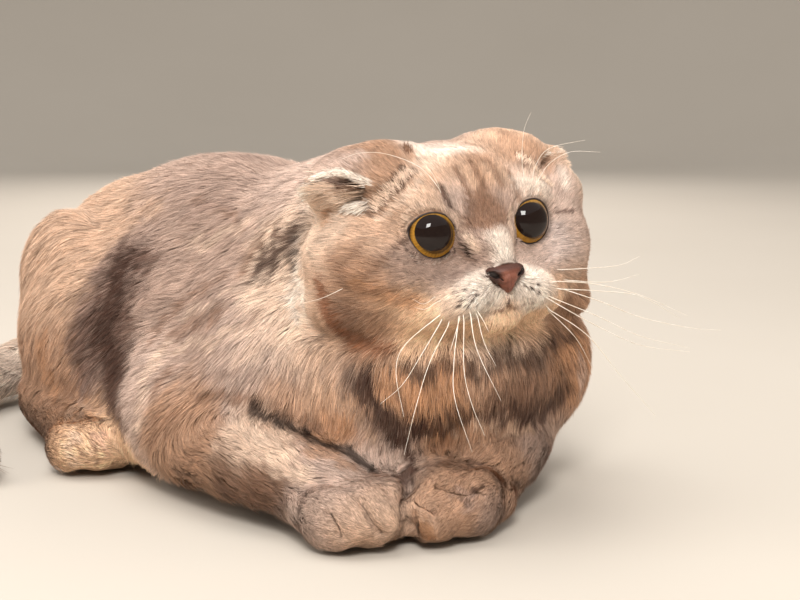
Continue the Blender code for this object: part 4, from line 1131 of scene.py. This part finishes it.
for side in sides.values():
    flip = np.array([-side, 1, 1])
    for (a, b), towards, long, wide, number, tone, shareLeft in earTufts:
        if side > 0:
            long *= shareLeft
            number = int(number * shareLeft)
        t = dice.random((number, 1))
        spots = np.array(a) * (1 - t) + np.array(b) * t + dice.normal(size=(number, 3)) * 0.9
        hairRoots.append(spots * flip)
        hairAims.append(unit(np.array(towards) + dice.normal(size=(number, 3)) * 0.13) * flip)
        hairLengths.append(long * (0.65 + 0.5 * dice.random(number)))
        hairWidths.append(np.full(number, wide * 0.5 * mm))
        shade = 1 + 0.18 * dice.normal(size=(number, 1)).clip(-2, 2)
        hairTones.append(np.array(tones[tone]) * shade)
hairRoots = fromHead(np.vstack(hairRoots))
hairAims = unit(np.vstack(hairAims) @ headAxes.T)
hairLengths = np.concatenate(hairLengths) * mm
hairNormals = np.empty_like(hairRoots)
hairUv = np.empty((len(hairRoots), 2))
for i, p in enumerate(hairRoots.tolist()):
    place, normal, index, _ = skinTree.find_nearest(p)
    hairRoots[i] = np.array(place) - np.array(normal) * 0.0003
    hairNormals[i] = normal
    hairUv[i] = unwrap[skinMesh.polygons[index].loop_start]
hairAims = unit(hairAims + hairNormals * 0.25)
hairTips = hairRoots + hairAims * hairLengths[:, None]
hairMiddles = hairRoots + hairAims * (hairLengths * 0.5)[:, None] + hairNormals * 0.0006
kitePiece("coatEarTufts", hairRoots, hairMiddles, hairTips, hairNormals, dice.normal(size=len(hairRoots)) * 0.4,
          np.concatenate(hairWidths), np.vstack(hairTones), np.zeros(len(hairRoots)), hairUv)

# The skin carries the same marks, a little deeper in tone as it lies in the hair's shade
skinTone = np.ones((len(skinPoints), 4))
skinTone[:, :3] = coatTones(skinPoints + skinNormals * (coat[:, 0] * 0.6 * mm)[:, None]) * 0.62
for share in eyeShares.values():
    rim = (1 - smooth(share, 1.03, 1.10))[:, None]
    skinTone[:, :3] += rim * (np.array([0.020, 0.012, 0.010]) - skinTone[:, :3])
writeTones(skinMesh, skinTone)
skinMesh.materials.clear()
skinMesh.materials.append(skinLook())
skinMesh.polygons.foreach_set("use_smooth", np.ones(len(skinMesh.polygons), bool))
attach(skin, "root")
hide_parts(*solidNames)
print("skin finished:", len(triangles), "triangles")


def eyeLook():
    look = Look("eyeGlass")
    iris = look.node("ShaderNodeAttribute", {"attribute_name": "irisPlace"}, output=1)
    parts = look.node("ShaderNodeSeparateXYZ", None, {0: iris})
    x = parts
    z = Channel(look, parts.socket.node.outputs[2])
    out = (x * x + z * z) ** 0.5
    ray = look.node("ShaderNodeMath", {"operation": "ARCTAN2"}, {0: z, 1: x})
    fibre = look.node("ShaderNodeCombineXYZ", None, {0: ray * 9.0, 1: out * 0.35, 2: 0.0})
    streak = look.node("ShaderNodeTexNoise", None, {"Vector": fibre, "Scale": 1.6, "Detail": 4.0})
    amber = look.node("ShaderNodeValToRGB", {"stops": [
        (0.0, (0.06, 0.030, 0.006)), (0.25, (0.22, 0.115, 0.018)), (0.65, (0.30, 0.152, 0.022)),
        (1.0, (0.12, 0.055, 0.010))]}, {0: (out - eyePlan["pupil"]) / (eyePlan["iris"] - eyePlan["pupil"])})
    lively = look.mix(0.55, amber, look.mix(streak.ramp(0.3, 0.7), (0.45, 0.42, 0.38), (1.25, 1.2, 1.1)), "MULTIPLY")
    # The lower iris is made brighter: painted light, for light falling through the clear front onto it
    paintedLightBelow = look.mix((z * -0.09 + 0.35).held(), lively, look.mix(1.0, lively, (1.6, 1.6, 1.5), "MULTIPLY"))
    shifted = Channel(look, parts.socket.node.outputs[1])
    raised = z - eyePlan["pupilRise"]
    hole = (shifted * shifted + raised * raised) ** 0.5
    pupil = hole.ramp(eyePlan["pupil"] - 0.15, eyePlan["pupil"] + 0.15)
    limbus = out.ramp(eyePlan["iris"] - 0.25, eyePlan["iris"] + 0.35)
    colour = look.mix(pupil, (0.010, 0.005, 0.004), paintedLightBelow)
    colour = look.mix(limbus, colour, (0.010, 0.006, 0.005))
    return look.finish(Base_Color=colour, Roughness=0.35, Coat_Weight=1.0, Coat_Roughness=0.012, Coat_IOR=1.37,
                       Specular_IOR_Level=0.0)


eyeMaterial = eyeLook()


def makeEye(sideName, side):
    # A ball with the clear front's bulge, its pole looking out between the lids
    rings, spokes = 48, 64
    polar = np.linspace(0, math.pi, rings + 1)[1:-1]
    turns = np.arange(spokes) / spokes * 2 * math.pi
    bulge = 1.0 * (1 - smooth(polar, math.radians(20), math.radians(50)))
    reach = eyePlan["radius"] + bulge
    grid = np.stack([np.sin(polar)[:, None] * np.cos(turns) * reach[:, None],
                     (np.cos(polar) * reach)[:, None] * np.ones(spokes),
                     np.sin(polar)[:, None] * np.sin(turns) * reach[:, None]], axis=2).reshape(-1, 3)
    points = np.vstack([grid, [(0, eyePlan["radius"] + 1.0, 0), (0, -eyePlan["radius"], 0)]])
    front, back = len(points) - 2, len(points) - 1
    faces = []
    for r in range(rings - 2):
        for s in range(spokes):
            a, b = r * spokes + s, r * spokes + (s + 1) % spokes
            faces.append((a, b, b + spokes, a + spokes))
    last = (rings - 2) * spokes
    for s in range(spokes):
        faces.append((front, (s + 1) % spokes, s))
        faces.append((back, last + s, last + (s + 1) % spokes))
    mesh = bpy.data.meshes.new("eyeball_" + sideName)
    mesh.from_pydata(fromHead(fromEye(points, side)).tolist(), [], faces)
    bm = bmesh.new()
    bm.from_mesh(mesh)
    bmesh.ops.recalc_face_normals(bm, faces=bm.faces)
    bm.to_mesh(mesh)
    bm.free()
    layer = mesh.attributes.new("irisPlace", "FLOAT_VECTOR", "POINT")
    # Two flat places, from the middle of the iris and from the pupil's own, which sits towards the cat's right
    pattern = np.stack([points[:, 0], points[:, 0] + eyePlan["pupilShift"] * side, points[:, 2]], axis=1)
    layer.data.foreach_set("vector", pattern.astype(np.float32).ravel())
    mesh.polygons.foreach_set("use_smooth", np.ones(len(mesh.polygons), bool))
    mesh.materials.append(eyeMaterial)
    ball = bpy.data.objects.new("eyeball_" + sideName, mesh)
    bpy.context.scene.collection.objects.link(ball)
    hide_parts("eye_" + sideName)
    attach(ball, "root")
    return ball


for sideName, side in sides.items():
    makeEye(sideName, side)
print("eyes set")


# Strands: tapered tubes along paths, for whiskers and the lips
def strandTree(name, material):
    tree = bpy.data.node_groups.new(name, "GeometryNodeTree")
    tree.interface.new_socket("Geometry", in_out="INPUT", socket_type="NodeSocketGeometry")
    for label, value in (("Root radius", 0.0003), ("Tip radius", 0.00003), ("Flatness", 1.0)):
        tree.interface.new_socket(label, in_out="INPUT", socket_type="NodeSocketFloat").default_value = value
    tree.interface.new_socket("Sides", in_out="INPUT", socket_type="NodeSocketInt").default_value = 6
    tree.interface.new_socket("Geometry", in_out="OUTPUT", socket_type="NodeSocketGeometry")
    nodes, links = tree.nodes, tree.links
    source = nodes.new("NodeGroupInput")
    result = nodes.new("NodeGroupOutput")
    curve = nodes.new("GeometryNodeMeshToCurve")
    along = nodes.new("GeometryNodeSplineParameter")
    taper = nodes.new("ShaderNodeMix")
    size = nodes.new("GeometryNodeSetCurveRadius")
    ring = nodes.new("GeometryNodeCurvePrimitiveCircle")
    sweep = nodes.new("GeometryNodeCurveToMesh")
    soft = nodes.new("GeometryNodeSetShadeSmooth")
    real = nodes.new("GeometryNodeRealizeInstances")
    paint = nodes.new("GeometryNodeSetMaterial")
    ring.inputs["Radius"].default_value = 1.0
    sweep.inputs["Fill Caps"].default_value = True
    paint.inputs["Material"].default_value = material
    links.new(source.outputs["Geometry"], curve.inputs[0])
    links.new(along.outputs["Factor"], taper.inputs[0])
    links.new(source.outputs["Root radius"], taper.inputs[2])
    links.new(source.outputs["Tip radius"], taper.inputs[3])
    links.new(curve.outputs[0], size.inputs["Curve"])
    links.new(taper.outputs[0], size.inputs["Radius"])
    links.new(source.outputs["Sides"], ring.inputs["Resolution"])
    links.new(size.outputs[0], sweep.inputs["Curve"])
    links.new(ring.outputs["Curve"], sweep.inputs["Profile Curve"])
    if "Scale" in sweep.inputs:
        links.new(taper.outputs[0], sweep.inputs["Scale"])
    links.new(sweep.outputs[0], soft.inputs[0])
    links.new(soft.outputs[0], real.inputs[0])
    links.new(real.outputs[0], paint.inputs["Geometry"])
    links.new(paint.outputs[0], result.inputs[0])
    return tree


def strandPiece(name, paths, tree, sizes, material):
    points, edges = [], []
    for path in paths:
        start = len(points)
        points += [tuple(p) for p in path]
        edges += [(start + i, start + i + 1) for i in range(len(path) - 1)]
    mesh = bpy.data.meshes.new(name + "Paths")
    mesh.from_pydata(points, edges, [])
    obj = bpy.data.objects.new(name, mesh)
    bpy.context.scene.collection.objects.link(obj)
    grow = obj.modifiers.new("grow", "NODES")
    grow.node_group = tree
    for item in tree.interface.items_tree:
        if item.in_out == "INPUT" and item.name in sizes:
            grow[item.identifier] = sizes[item.name]
    bpy.context.view_layer.update()
    made = bpy.data.meshes.new_from_object(obj.evaluated_get(bpy.context.evaluated_depsgraph_get()))
    bpy.data.objects.remove(obj, do_unlink=True)
    made.name = name
    bm = bmesh.new()
    bm.from_mesh(made)
    bmesh.ops.recalc_face_normals(bm, faces=bm.faces)
    bm.to_mesh(made)
    bm.free()
    made.materials.clear()
    made.materials.append(material)
    piece = bpy.data.objects.new(name, made)
    bpy.context.scene.collection.objects.link(piece)
    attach(piece, "root")
    return piece


def whiskerLook():
    look = Look("whiskerHorn")
    fleck = look.noise(0.0030, 2.0)
    colour = look.mix(fleck.ramp(0.35, 0.7), (0.78, 0.68, 0.56), (0.92, 0.86, 0.78))
    return look.finish(Base_Color=colour, Roughness=0.28 + 0.1 * fleck, Specular_IOR_Level=0.5)


whiskerMaterial = whiskerLook()
whiskerSizes = {"Root radius": 0.00021, "Tip radius": 0.00004, "Sides": 5}
whiskers = [
    [(-27.7, -42.1, -29.2), (-43.9, -42.4, -38.6), (-50.8, -47.1, -47.3), (-52.9, -55.7, -62.8)],
    [(-26.8, -41.9, -31.4), (-38.0, -43.1, -44.2), (-47.3, -44.5, -53.6), (-57.3, -44.7, -59.4)],
    [(-24.1, -43.5, -32.4), (-36.1, -47.5, -45.7), (-46.1, -52.9, -60.8), (-55.4, -58.9, -76.6)],
    [(-21.9, -46.9, -30.1), (-29.0, -53.9, -45.7), (-33.5, -61.4, -58.4), (-33.4, -72.5, -76.4)],
    [(-20.2, -48.0, -29.4), (-25.5, -55.3, -49.2), (-26.9, -62.7, -61.3), (-26.5, -70.7, -71.8)],
    [(-18.0, -49.0, -28.4), (-20.1, -56.7, -41.8), (-17.2, -68.2, -60.3)],
    [(-14.2, -47.7, -30.4), (-15.3, -54.0, -40.0), (-14.4, -60.9, -48.4)],
    [(-21.5, -47.1, -30.2), (-25.7, -49.9, -36.2), (-29.8, -52.6, -41.8)],
    [(-14.4, -48.9, -29.0), (-13.8, -52.2, -32.5), (-13.7, -55.4, -36.0)],
    [(31.7, -34.8, -20.7), (47.9, -34.8, -22.2), (63.4, -34.3, -23.1), (75.6, -31.6, -21.3)],
    [(35.3, -32.7, -25.7), (57.3, -33.1, -29.7), (75.9, -30.8, -29.3)],
    [(20.7, -48.0, -21.8), (41.7, -47.3, -26.2), (63.5, -47.7, -34.0), (86.4, -49.7, -46.1)],
    [(23.7, -46.8, -24.9), (44.8, -47.4, -34.2), (63.7, -47.0, -43.5), (87.9, -47.8, -51.7), (106.0, -46.5, -56.0)],
    [(32.4, -35.3, -28.7), (52.1, -35.3, -32.5), (72.1, -35.7, -37.6), (91.4, -37.5, -49.9)],
    [(17.6, -49.6, -27.3), (39.4, -50.0, -38.4), (60.9, -50.5, -50.5), (85.4, -51.8, -59.5)],
    [(16.0, -49.8, -27.4), (39.0, -50.2, -42.4), (61.4, -49.7, -54.6), (87.0, -49.6, -61.9)],
    [(18.4, -45.6, -32.5), (35.8, -49.0, -46.3), (49.4, -51.8, -65.0), (64.0, -55.1, -84.1)],
    [(24.8, -36.8, -35.8), (36.5, -38.9, -49.1), (44.2, -39.1, -63.2)],
]
browWhiskers = [
    [(-16.5, -30.3, 15.7), (-24.4, -27.2, 27.0), (-36.8, -22.9, 33.5), (-47.4, -20.8, 34.9), (-55.2, -20.7, 33.4)],
    [(-17.1, -28.4, 18.3), (-21.4, -29.0, 26.0), (-27.6, -28.9, 33.0)],
    [(22.9, -30.8, 13.1), (25.5, -32.0, 23.1), (30.5, -35.2, 29.7), (42.4, -42.8, 32.2)],
    [(25.2, -30.2, 13.6), (31.0, -32.5, 22.6), (39.0, -36.8, 27.3), (49.0, -43.5, 26.7)],
    [(21.4, -30.2, 14.9), (20.5, -29.6, 25.5), (22.0, -29.8, 37.5), (24.5, -31.7, 44.6)],
    [(-58.7, -19.7, -17.7), (-67.4, -19.4, -20.1), (-75.4, -19.1, -20.9)],
    [(-27.0, -41.7, -23.4), (-33.4, -40.9, -26.2), (-37.8, -40.1, -24.8)],
    [(-27.1, -38.6, -22.3), (-32.4, -38.3, -24.7), (-37.0, -37.1, -22.2)],
]


def rooted(path, count):
    # A whisker's path, its first point sunk into the skin
    run = fromHead(bezierPath(path, count))
    q, n, _, _ = skinTree.find_nearest(run[0].tolist())
    run[0] = np.array(q) - np.array(n) * 0.0004
    return run


whiskerTree = strandTree("whiskerGrower", whiskerMaterial)
strandPiece("whiskers", [rooted(p, 26) for p in whiskers], whiskerTree, whiskerSizes, whiskerMaterial)
strandPiece("browWhiskers", [rooted(p, 20) for p in browWhiskers], whiskerTree,
            {**whiskerSizes, "Root radius": 0.00013}, whiskerMaterial)
print("whiskers grown")


def lidLook():
    look = Look("lidEdge")
    fine = look.noise(0.0008, 3.0)
    colour = look.mix(fine.ramp(0.3, 0.7), (0.010, 0.005, 0.004), (0.035, 0.018, 0.013))
    bump = look.node("ShaderNodeBump", None, {"Height": fine, "Strength": 0.3, "Distance": 0.0003})
    return look.finish(Base_Color=colour, Roughness=0.45 + 0.2 * fine, Normal=bump)


lidMaterial = lidLook()
lidTree = strandTree("lineGrower", lidMaterial)


def makeLidRims():
    # A wet dark rim on the ball round each opening, widest above and at the inner corner. Half widths in mm
    points, faces = [], []
    spokes, around = 96, 8
    for side in sides.values():
        start = len(points)
        turns = np.linspace(0, 2 * math.pi, spokes, endpoint=False)
        edge = lidCurve(turns)
        outwards = unit(edge)
        inner = np.clip((-np.cos(turns) - 0.62) / 0.38, 0, 1) ** 2
        thick = 0.24 + 0.14 * np.clip(np.sin(turns), 0, 1) + 0.22 * inner + 0.14 * np.clip(np.cos(turns), 0, 1)
        flat = edge + outwards * (thick * 0.55)[:, None]
        squared = np.sum(flat**2, axis=1)
        ball = (eyePlan["radius"] + 0.25) ** 2
        out = np.sqrt(np.maximum(ball - squared, 4.0))
        middle = np.stack([flat[:, 0], out, flat[:, 1]], axis=1)
        up = unit(middle)
        side3 = unit(np.stack([outwards[:, 0], -0.35 * np.ones(spokes), outwards[:, 1]], axis=1))
        for k in range(around):
            a = 2 * math.pi * k / around
            points.extend(fromHead(fromEye(middle + side3 * (thick * math.cos(a))[:, None]
                                           + up * (0.62 * thick * math.sin(a))[:, None], side)).tolist())
        for k in range(around):
            for s in range(spokes):
                t = (s + 1) % spokes
                k2 = (k + 1) % around
                faces.append((start + k * spokes + s, start + k * spokes + t, start + k2 * spokes + t,
                              start + k2 * spokes + s))
    mesh = bpy.data.meshes.new("lidRims")
    mesh.from_pydata(points, [], faces)
    bm = bmesh.new()
    bm.from_mesh(mesh)
    bmesh.ops.recalc_face_normals(bm, faces=bm.faces)
    bm.to_mesh(mesh)
    bm.free()
    mesh.polygons.foreach_set("use_smooth", np.ones(len(mesh.polygons), bool))
    mesh.materials.append(lidMaterial)
    piece = bpy.data.objects.new("lidRims", mesh)
    bpy.context.scene.collection.objects.link(piece)
    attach(piece, "root")


makeLidRims()


def onSkin(path, count, lift):
    made = []
    for p in fromHead(bezierPath(path, count)).tolist():
        q, n, _, _ = skinTree.find_nearest(p)
        made.append(np.array(q) + np.array(n) * lift)
    return made


lipPaths = [
    [(0, -53, -21), (0, -51, -25), (0, -50, -28.5)],
    [(0, -50, -28.2), (6, -49, -31.5), (14, -46, -35), (21, -40.5, -37)],
    [(0, -50, -28.2), (-6, -49, -31.5), (-14, -46, -35), (-21, -40.5, -37)],
]
strandPiece("lipLine", [onSkin(p, 18, 0.0003) for p in lipPaths], lidTree,
            {"Root radius": 0.00036, "Tip radius": 0.00018, "Sides": 8}, lidMaterial)
print("lids and lips drawn")


nosePlan = {
    "lobes": [((0, -46.6, -14.6), (7.8, 5.2, 2.8)), ((-5.0, -46.2, -15.2), (3.6, 4.6, 2.9)),
              ((5.0, -46.2, -15.2), (3.6, 4.6, 2.9)), ((0, -47.2, -17.0), (4.6, 5.2, 3.9)),
              ((-4.0, -45.6, -16.8), (3.4, 4.2, 2.8)), ((4.0, -45.6, -16.8), (3.4, 4.2, 2.8)),
              ((0, -47.0, -19.6), (2.9, 4.9, 3.2)), ((0, -46.6, -21.6), (1.7, 4.3, 2.2))],
    "nostril": [(8.2, -47.8, -14.5), (6.6, -49.8, -15.2), (5.0, -50.6, -16.4), (3.5, -50.9, -17.9)],
    "halves": [0.5, 1.15, 0.95, 0.45], "deep": 1.8, "cell": 0.00035,
}


def noseLook():
    look = Look("noseLeather")
    pebble = look.node("ShaderNodeTexVoronoi", {"feature": "F1"}, {"Vector": look.where(), "Scale": 2300.0})
    soft = look.noise(0.0022, 3.0)
    hollow = look.node("ShaderNodeAttribute", {"attribute_name": "hollow"}, output=2)
    wing = look.node("ShaderNodeAttribute", {"attribute_name": "wing"}, output=2)
    colour = look.mix(soft.ramp(0.3, 0.7), (0.150, 0.048, 0.030), (0.235, 0.085, 0.055))
    # Darker in the grooves between the pebbles, as painted shade
    colour = look.mix(0.35, colour, look.mix(pebble.ramp(0.0, 0.5), (1.1, 1.05, 1.0), (0.6, 0.55, 0.5)), "MULTIPLY")
    colour = look.mix(wing.held(), colour, (0.050, 0.020, 0.014))
    # The nostrils are painted near-black: painted shade inside the openings
    colour = look.mix(hollow.held(), colour, (0.012, 0.006, 0.005))
    bump = look.node("ShaderNodeBump", None, {"Height": 1.0 - pebble, "Strength": 0.45, "Distance": 0.00025})
    return look.finish(Base_Color=colour, Roughness=0.40 + 0.2 * soft, Normal=bump, Specular_IOR_Level=0.4)


def makeNose():
    bm = bmesh.new()
    for place, radii in nosePlan["lobes"]:
        bmesh.ops.create_uvsphere(bm, u_segments=32, v_segments=20, radius=1,
                                  matrix=Matrix.Translation(place) @ Matrix.Diagonal((*radii, 1)))
    mesh = bpy.data.meshes.new("noseLeather")
    bm.to_mesh(mesh)
    bm.free()
    points = fromHead(meshPoints(mesh))
    mesh.vertices.foreach_set("co", points.ravel())
    obj = bpy.data.objects.new("noseLeather", mesh)
    bpy.context.scene.collection.objects.link(obj)
    fuse = obj.modifiers.new("fuse", "REMESH")
    fuse.mode = "VOXEL"
    fuse.voxel_size = nosePlan["cell"]
    ease = obj.modifiers.new("ease", "SMOOTH")
    ease.factor = 0.5
    ease.iterations = 8
    bpy.context.view_layer.update()
    made = bpy.data.meshes.new_from_object(obj.evaluated_get(bpy.context.evaluated_depsgraph_get()))
    bpy.data.objects.remove(obj, do_unlink=True)
    local = toHead(meshPoints(made))
    normals = meshNormals(made) @ headAxes
    hollow = np.zeros(len(local))
    for side in sides.values():
        # A comma: round in front, drawn out and up to the side
        d, along = lineDistance(local, [(x * side, y, z) for x, y, z in nosePlan["nostril"]])
        half = np.interp(along, np.linspace(0, 1, 4), nosePlan["halves"])
        share = (1 - smooth(d, half * 0.7, half * 1.5)) * (normals[:, 1] < 0.5)
        local[:, 1] += share * nosePlan["deep"]
        hollow = np.maximum(hollow, smooth(share, 0.25, 0.75))
    wing = np.maximum(smooth(np.abs(local[:, 0]), 2.6, 5.4), 0.85 * smooth(local[:, 2], -14.8, -12.8))
    groove = 1 - smooth(np.abs(local[:, 0]), 0.0, 0.9)
    local[:, 1] += groove * 0.45 * smooth(-local[:, 2], 14.5, 17.5) * (local[:, 1] < -48)
    made.vertices.foreach_set("co", fromHead(local).ravel())
    for label, values in (("hollow", hollow), ("wing", wing)):
        layer = made.attributes.new(label, "FLOAT", "POINT")
        layer.data.foreach_set("value", values.astype(np.float32))
    made.name = "noseLeather"
    made.update()
    made.polygons.foreach_set("use_smooth", np.ones(len(made.polygons), bool))
    made.materials.clear()
    made.materials.append(noseLook())
    piece = bpy.data.objects.new("noseLeather", made)
    bpy.context.scene.collection.objects.link(piece)
    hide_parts("nose")
    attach(piece, "root")


makeNose()
print("nose shaped")

cameraPlan = {"place": (-0.4144, -0.5736, 0.201), "azimuth": 40.99, "down": 10.0, "lens": 67.5}
camera = bpy.data.cameras.new("camera")
camera.lens = cameraPlan["lens"]
camera.sensor_width = 36
cameraObject = bpy.data.objects.new("camera", camera)
bpy.context.scene.collection.objects.link(cameraObject)
cameraObject.location = cameraPlan["place"]
down = math.radians(cameraPlan["down"])
gaze = Vector((0.656 * math.cos(down), 0.755 * math.cos(down), -math.sin(down)))
cameraObject.rotation_euler = gaze.to_track_quat("-Z", "Y").to_euler()
bpy.context.scene.camera = cameraObject

# Only the key shows in the eyes, as one bright window
lights = {
    "key": {"place": (-0.66, -0.80, 0.98), "size": 0.42, "power": 17.0, "colour": (1.0, 0.97, 0.93)},
    "fill": {"place": (0.80, -0.95, 0.60), "size": 0.9, "power": 4.0, "colour": (1.0, 0.93, 0.86)},
    "top": {"place": (-0.25, 0.15, 1.30), "size": 1.1, "power": 14.0, "colour": (1.0, 0.98, 0.95)},
    "rim": {"place": (0.75, 0.95, 0.70), "size": 0.8, "power": 8.0, "colour": (1.0, 0.93, 0.86)},
    "edge": {"place": (-1.05, 0.55, 0.60), "size": 0.7, "power": 6.0, "colour": (1.0, 0.92, 0.84)},
}
for name, plan in lights.items():
    lamp = bpy.data.lights.new(name, "AREA")
    lamp.energy = plan["power"]
    lamp.size = plan["size"]
    lamp.color = plan["colour"]
    lampObject = bpy.data.objects.new(name, lamp)
    bpy.context.scene.collection.objects.link(lampObject)
    lampObject.location = plan["place"]
    lampObject.visible_glossy = name == "key"
    towards = Vector((0, -0.03, 0.07)) - Vector(plan["place"])
    lampObject.rotation_euler = towards.to_track_quat("-Z", "Y").to_euler()

world = bpy.data.worlds.new("studio")
world.use_nodes = True
world.node_tree.nodes["Background"].inputs[0].default_value = (0.94, 0.91, 0.87, 1)
world.node_tree.nodes["Background"].inputs[1].default_value = 0.70
bpy.context.scene.world = world
bpy.context.scene.view_settings.view_transform = "Standard"

# A pale floor that curves up into a low wall all round, so that no horizon shows
floorPlan = {"flat": 1.6, "reach": 2.8, "high": 1.6, "rings": 24, "spokes": 96}
floorLook = Look("floorPaint")
floorTone = floorLook.mix(floorLook.noise(0.25, 2.0), (0.455, 0.415, 0.365), (0.485, 0.445, 0.395))
floorLook.finish(Base_Color=floorTone, Roughness=0.85, Specular_IOR_Level=0.2)
turns = np.arange(floorPlan["spokes"]) / floorPlan["spokes"] * 2 * math.pi
bend = np.linspace(0, math.pi / 2, floorPlan["rings"])
profile = [(floorPlan["flat"] + (floorPlan["reach"] - floorPlan["flat"]) * math.sin(a),
            floorPlan["high"] * (1 - math.cos(a))) for a in bend]
floorPoints = [(0, 0, 0)] + [(r * math.cos(t), r * math.sin(t), z) for r, z in profile for t in turns]
floorFaces = []
for s in range(floorPlan["spokes"]):
    after = (s + 1) % floorPlan["spokes"]
    floorFaces.append((0, 1 + s, 1 + after))
    for r in range(floorPlan["rings"] - 1):
        low = 1 + r * floorPlan["spokes"]
        high = low + floorPlan["spokes"]
        floorFaces.append((low + s, high + s, high + after, low + after))
floorMesh = bpy.data.meshes.new("floor")
floorMesh.from_pydata(floorPoints, [], floorFaces)
floorMesh.polygons.foreach_set("use_smooth", np.ones(len(floorFaces), bool))
floorMesh.materials.append(floorLook.material)
floor = bpy.data.objects.new("floor", floorMesh)
bpy.context.scene.collection.objects.link(floor)
print("studio set")

bpy.context.view_layer.update()
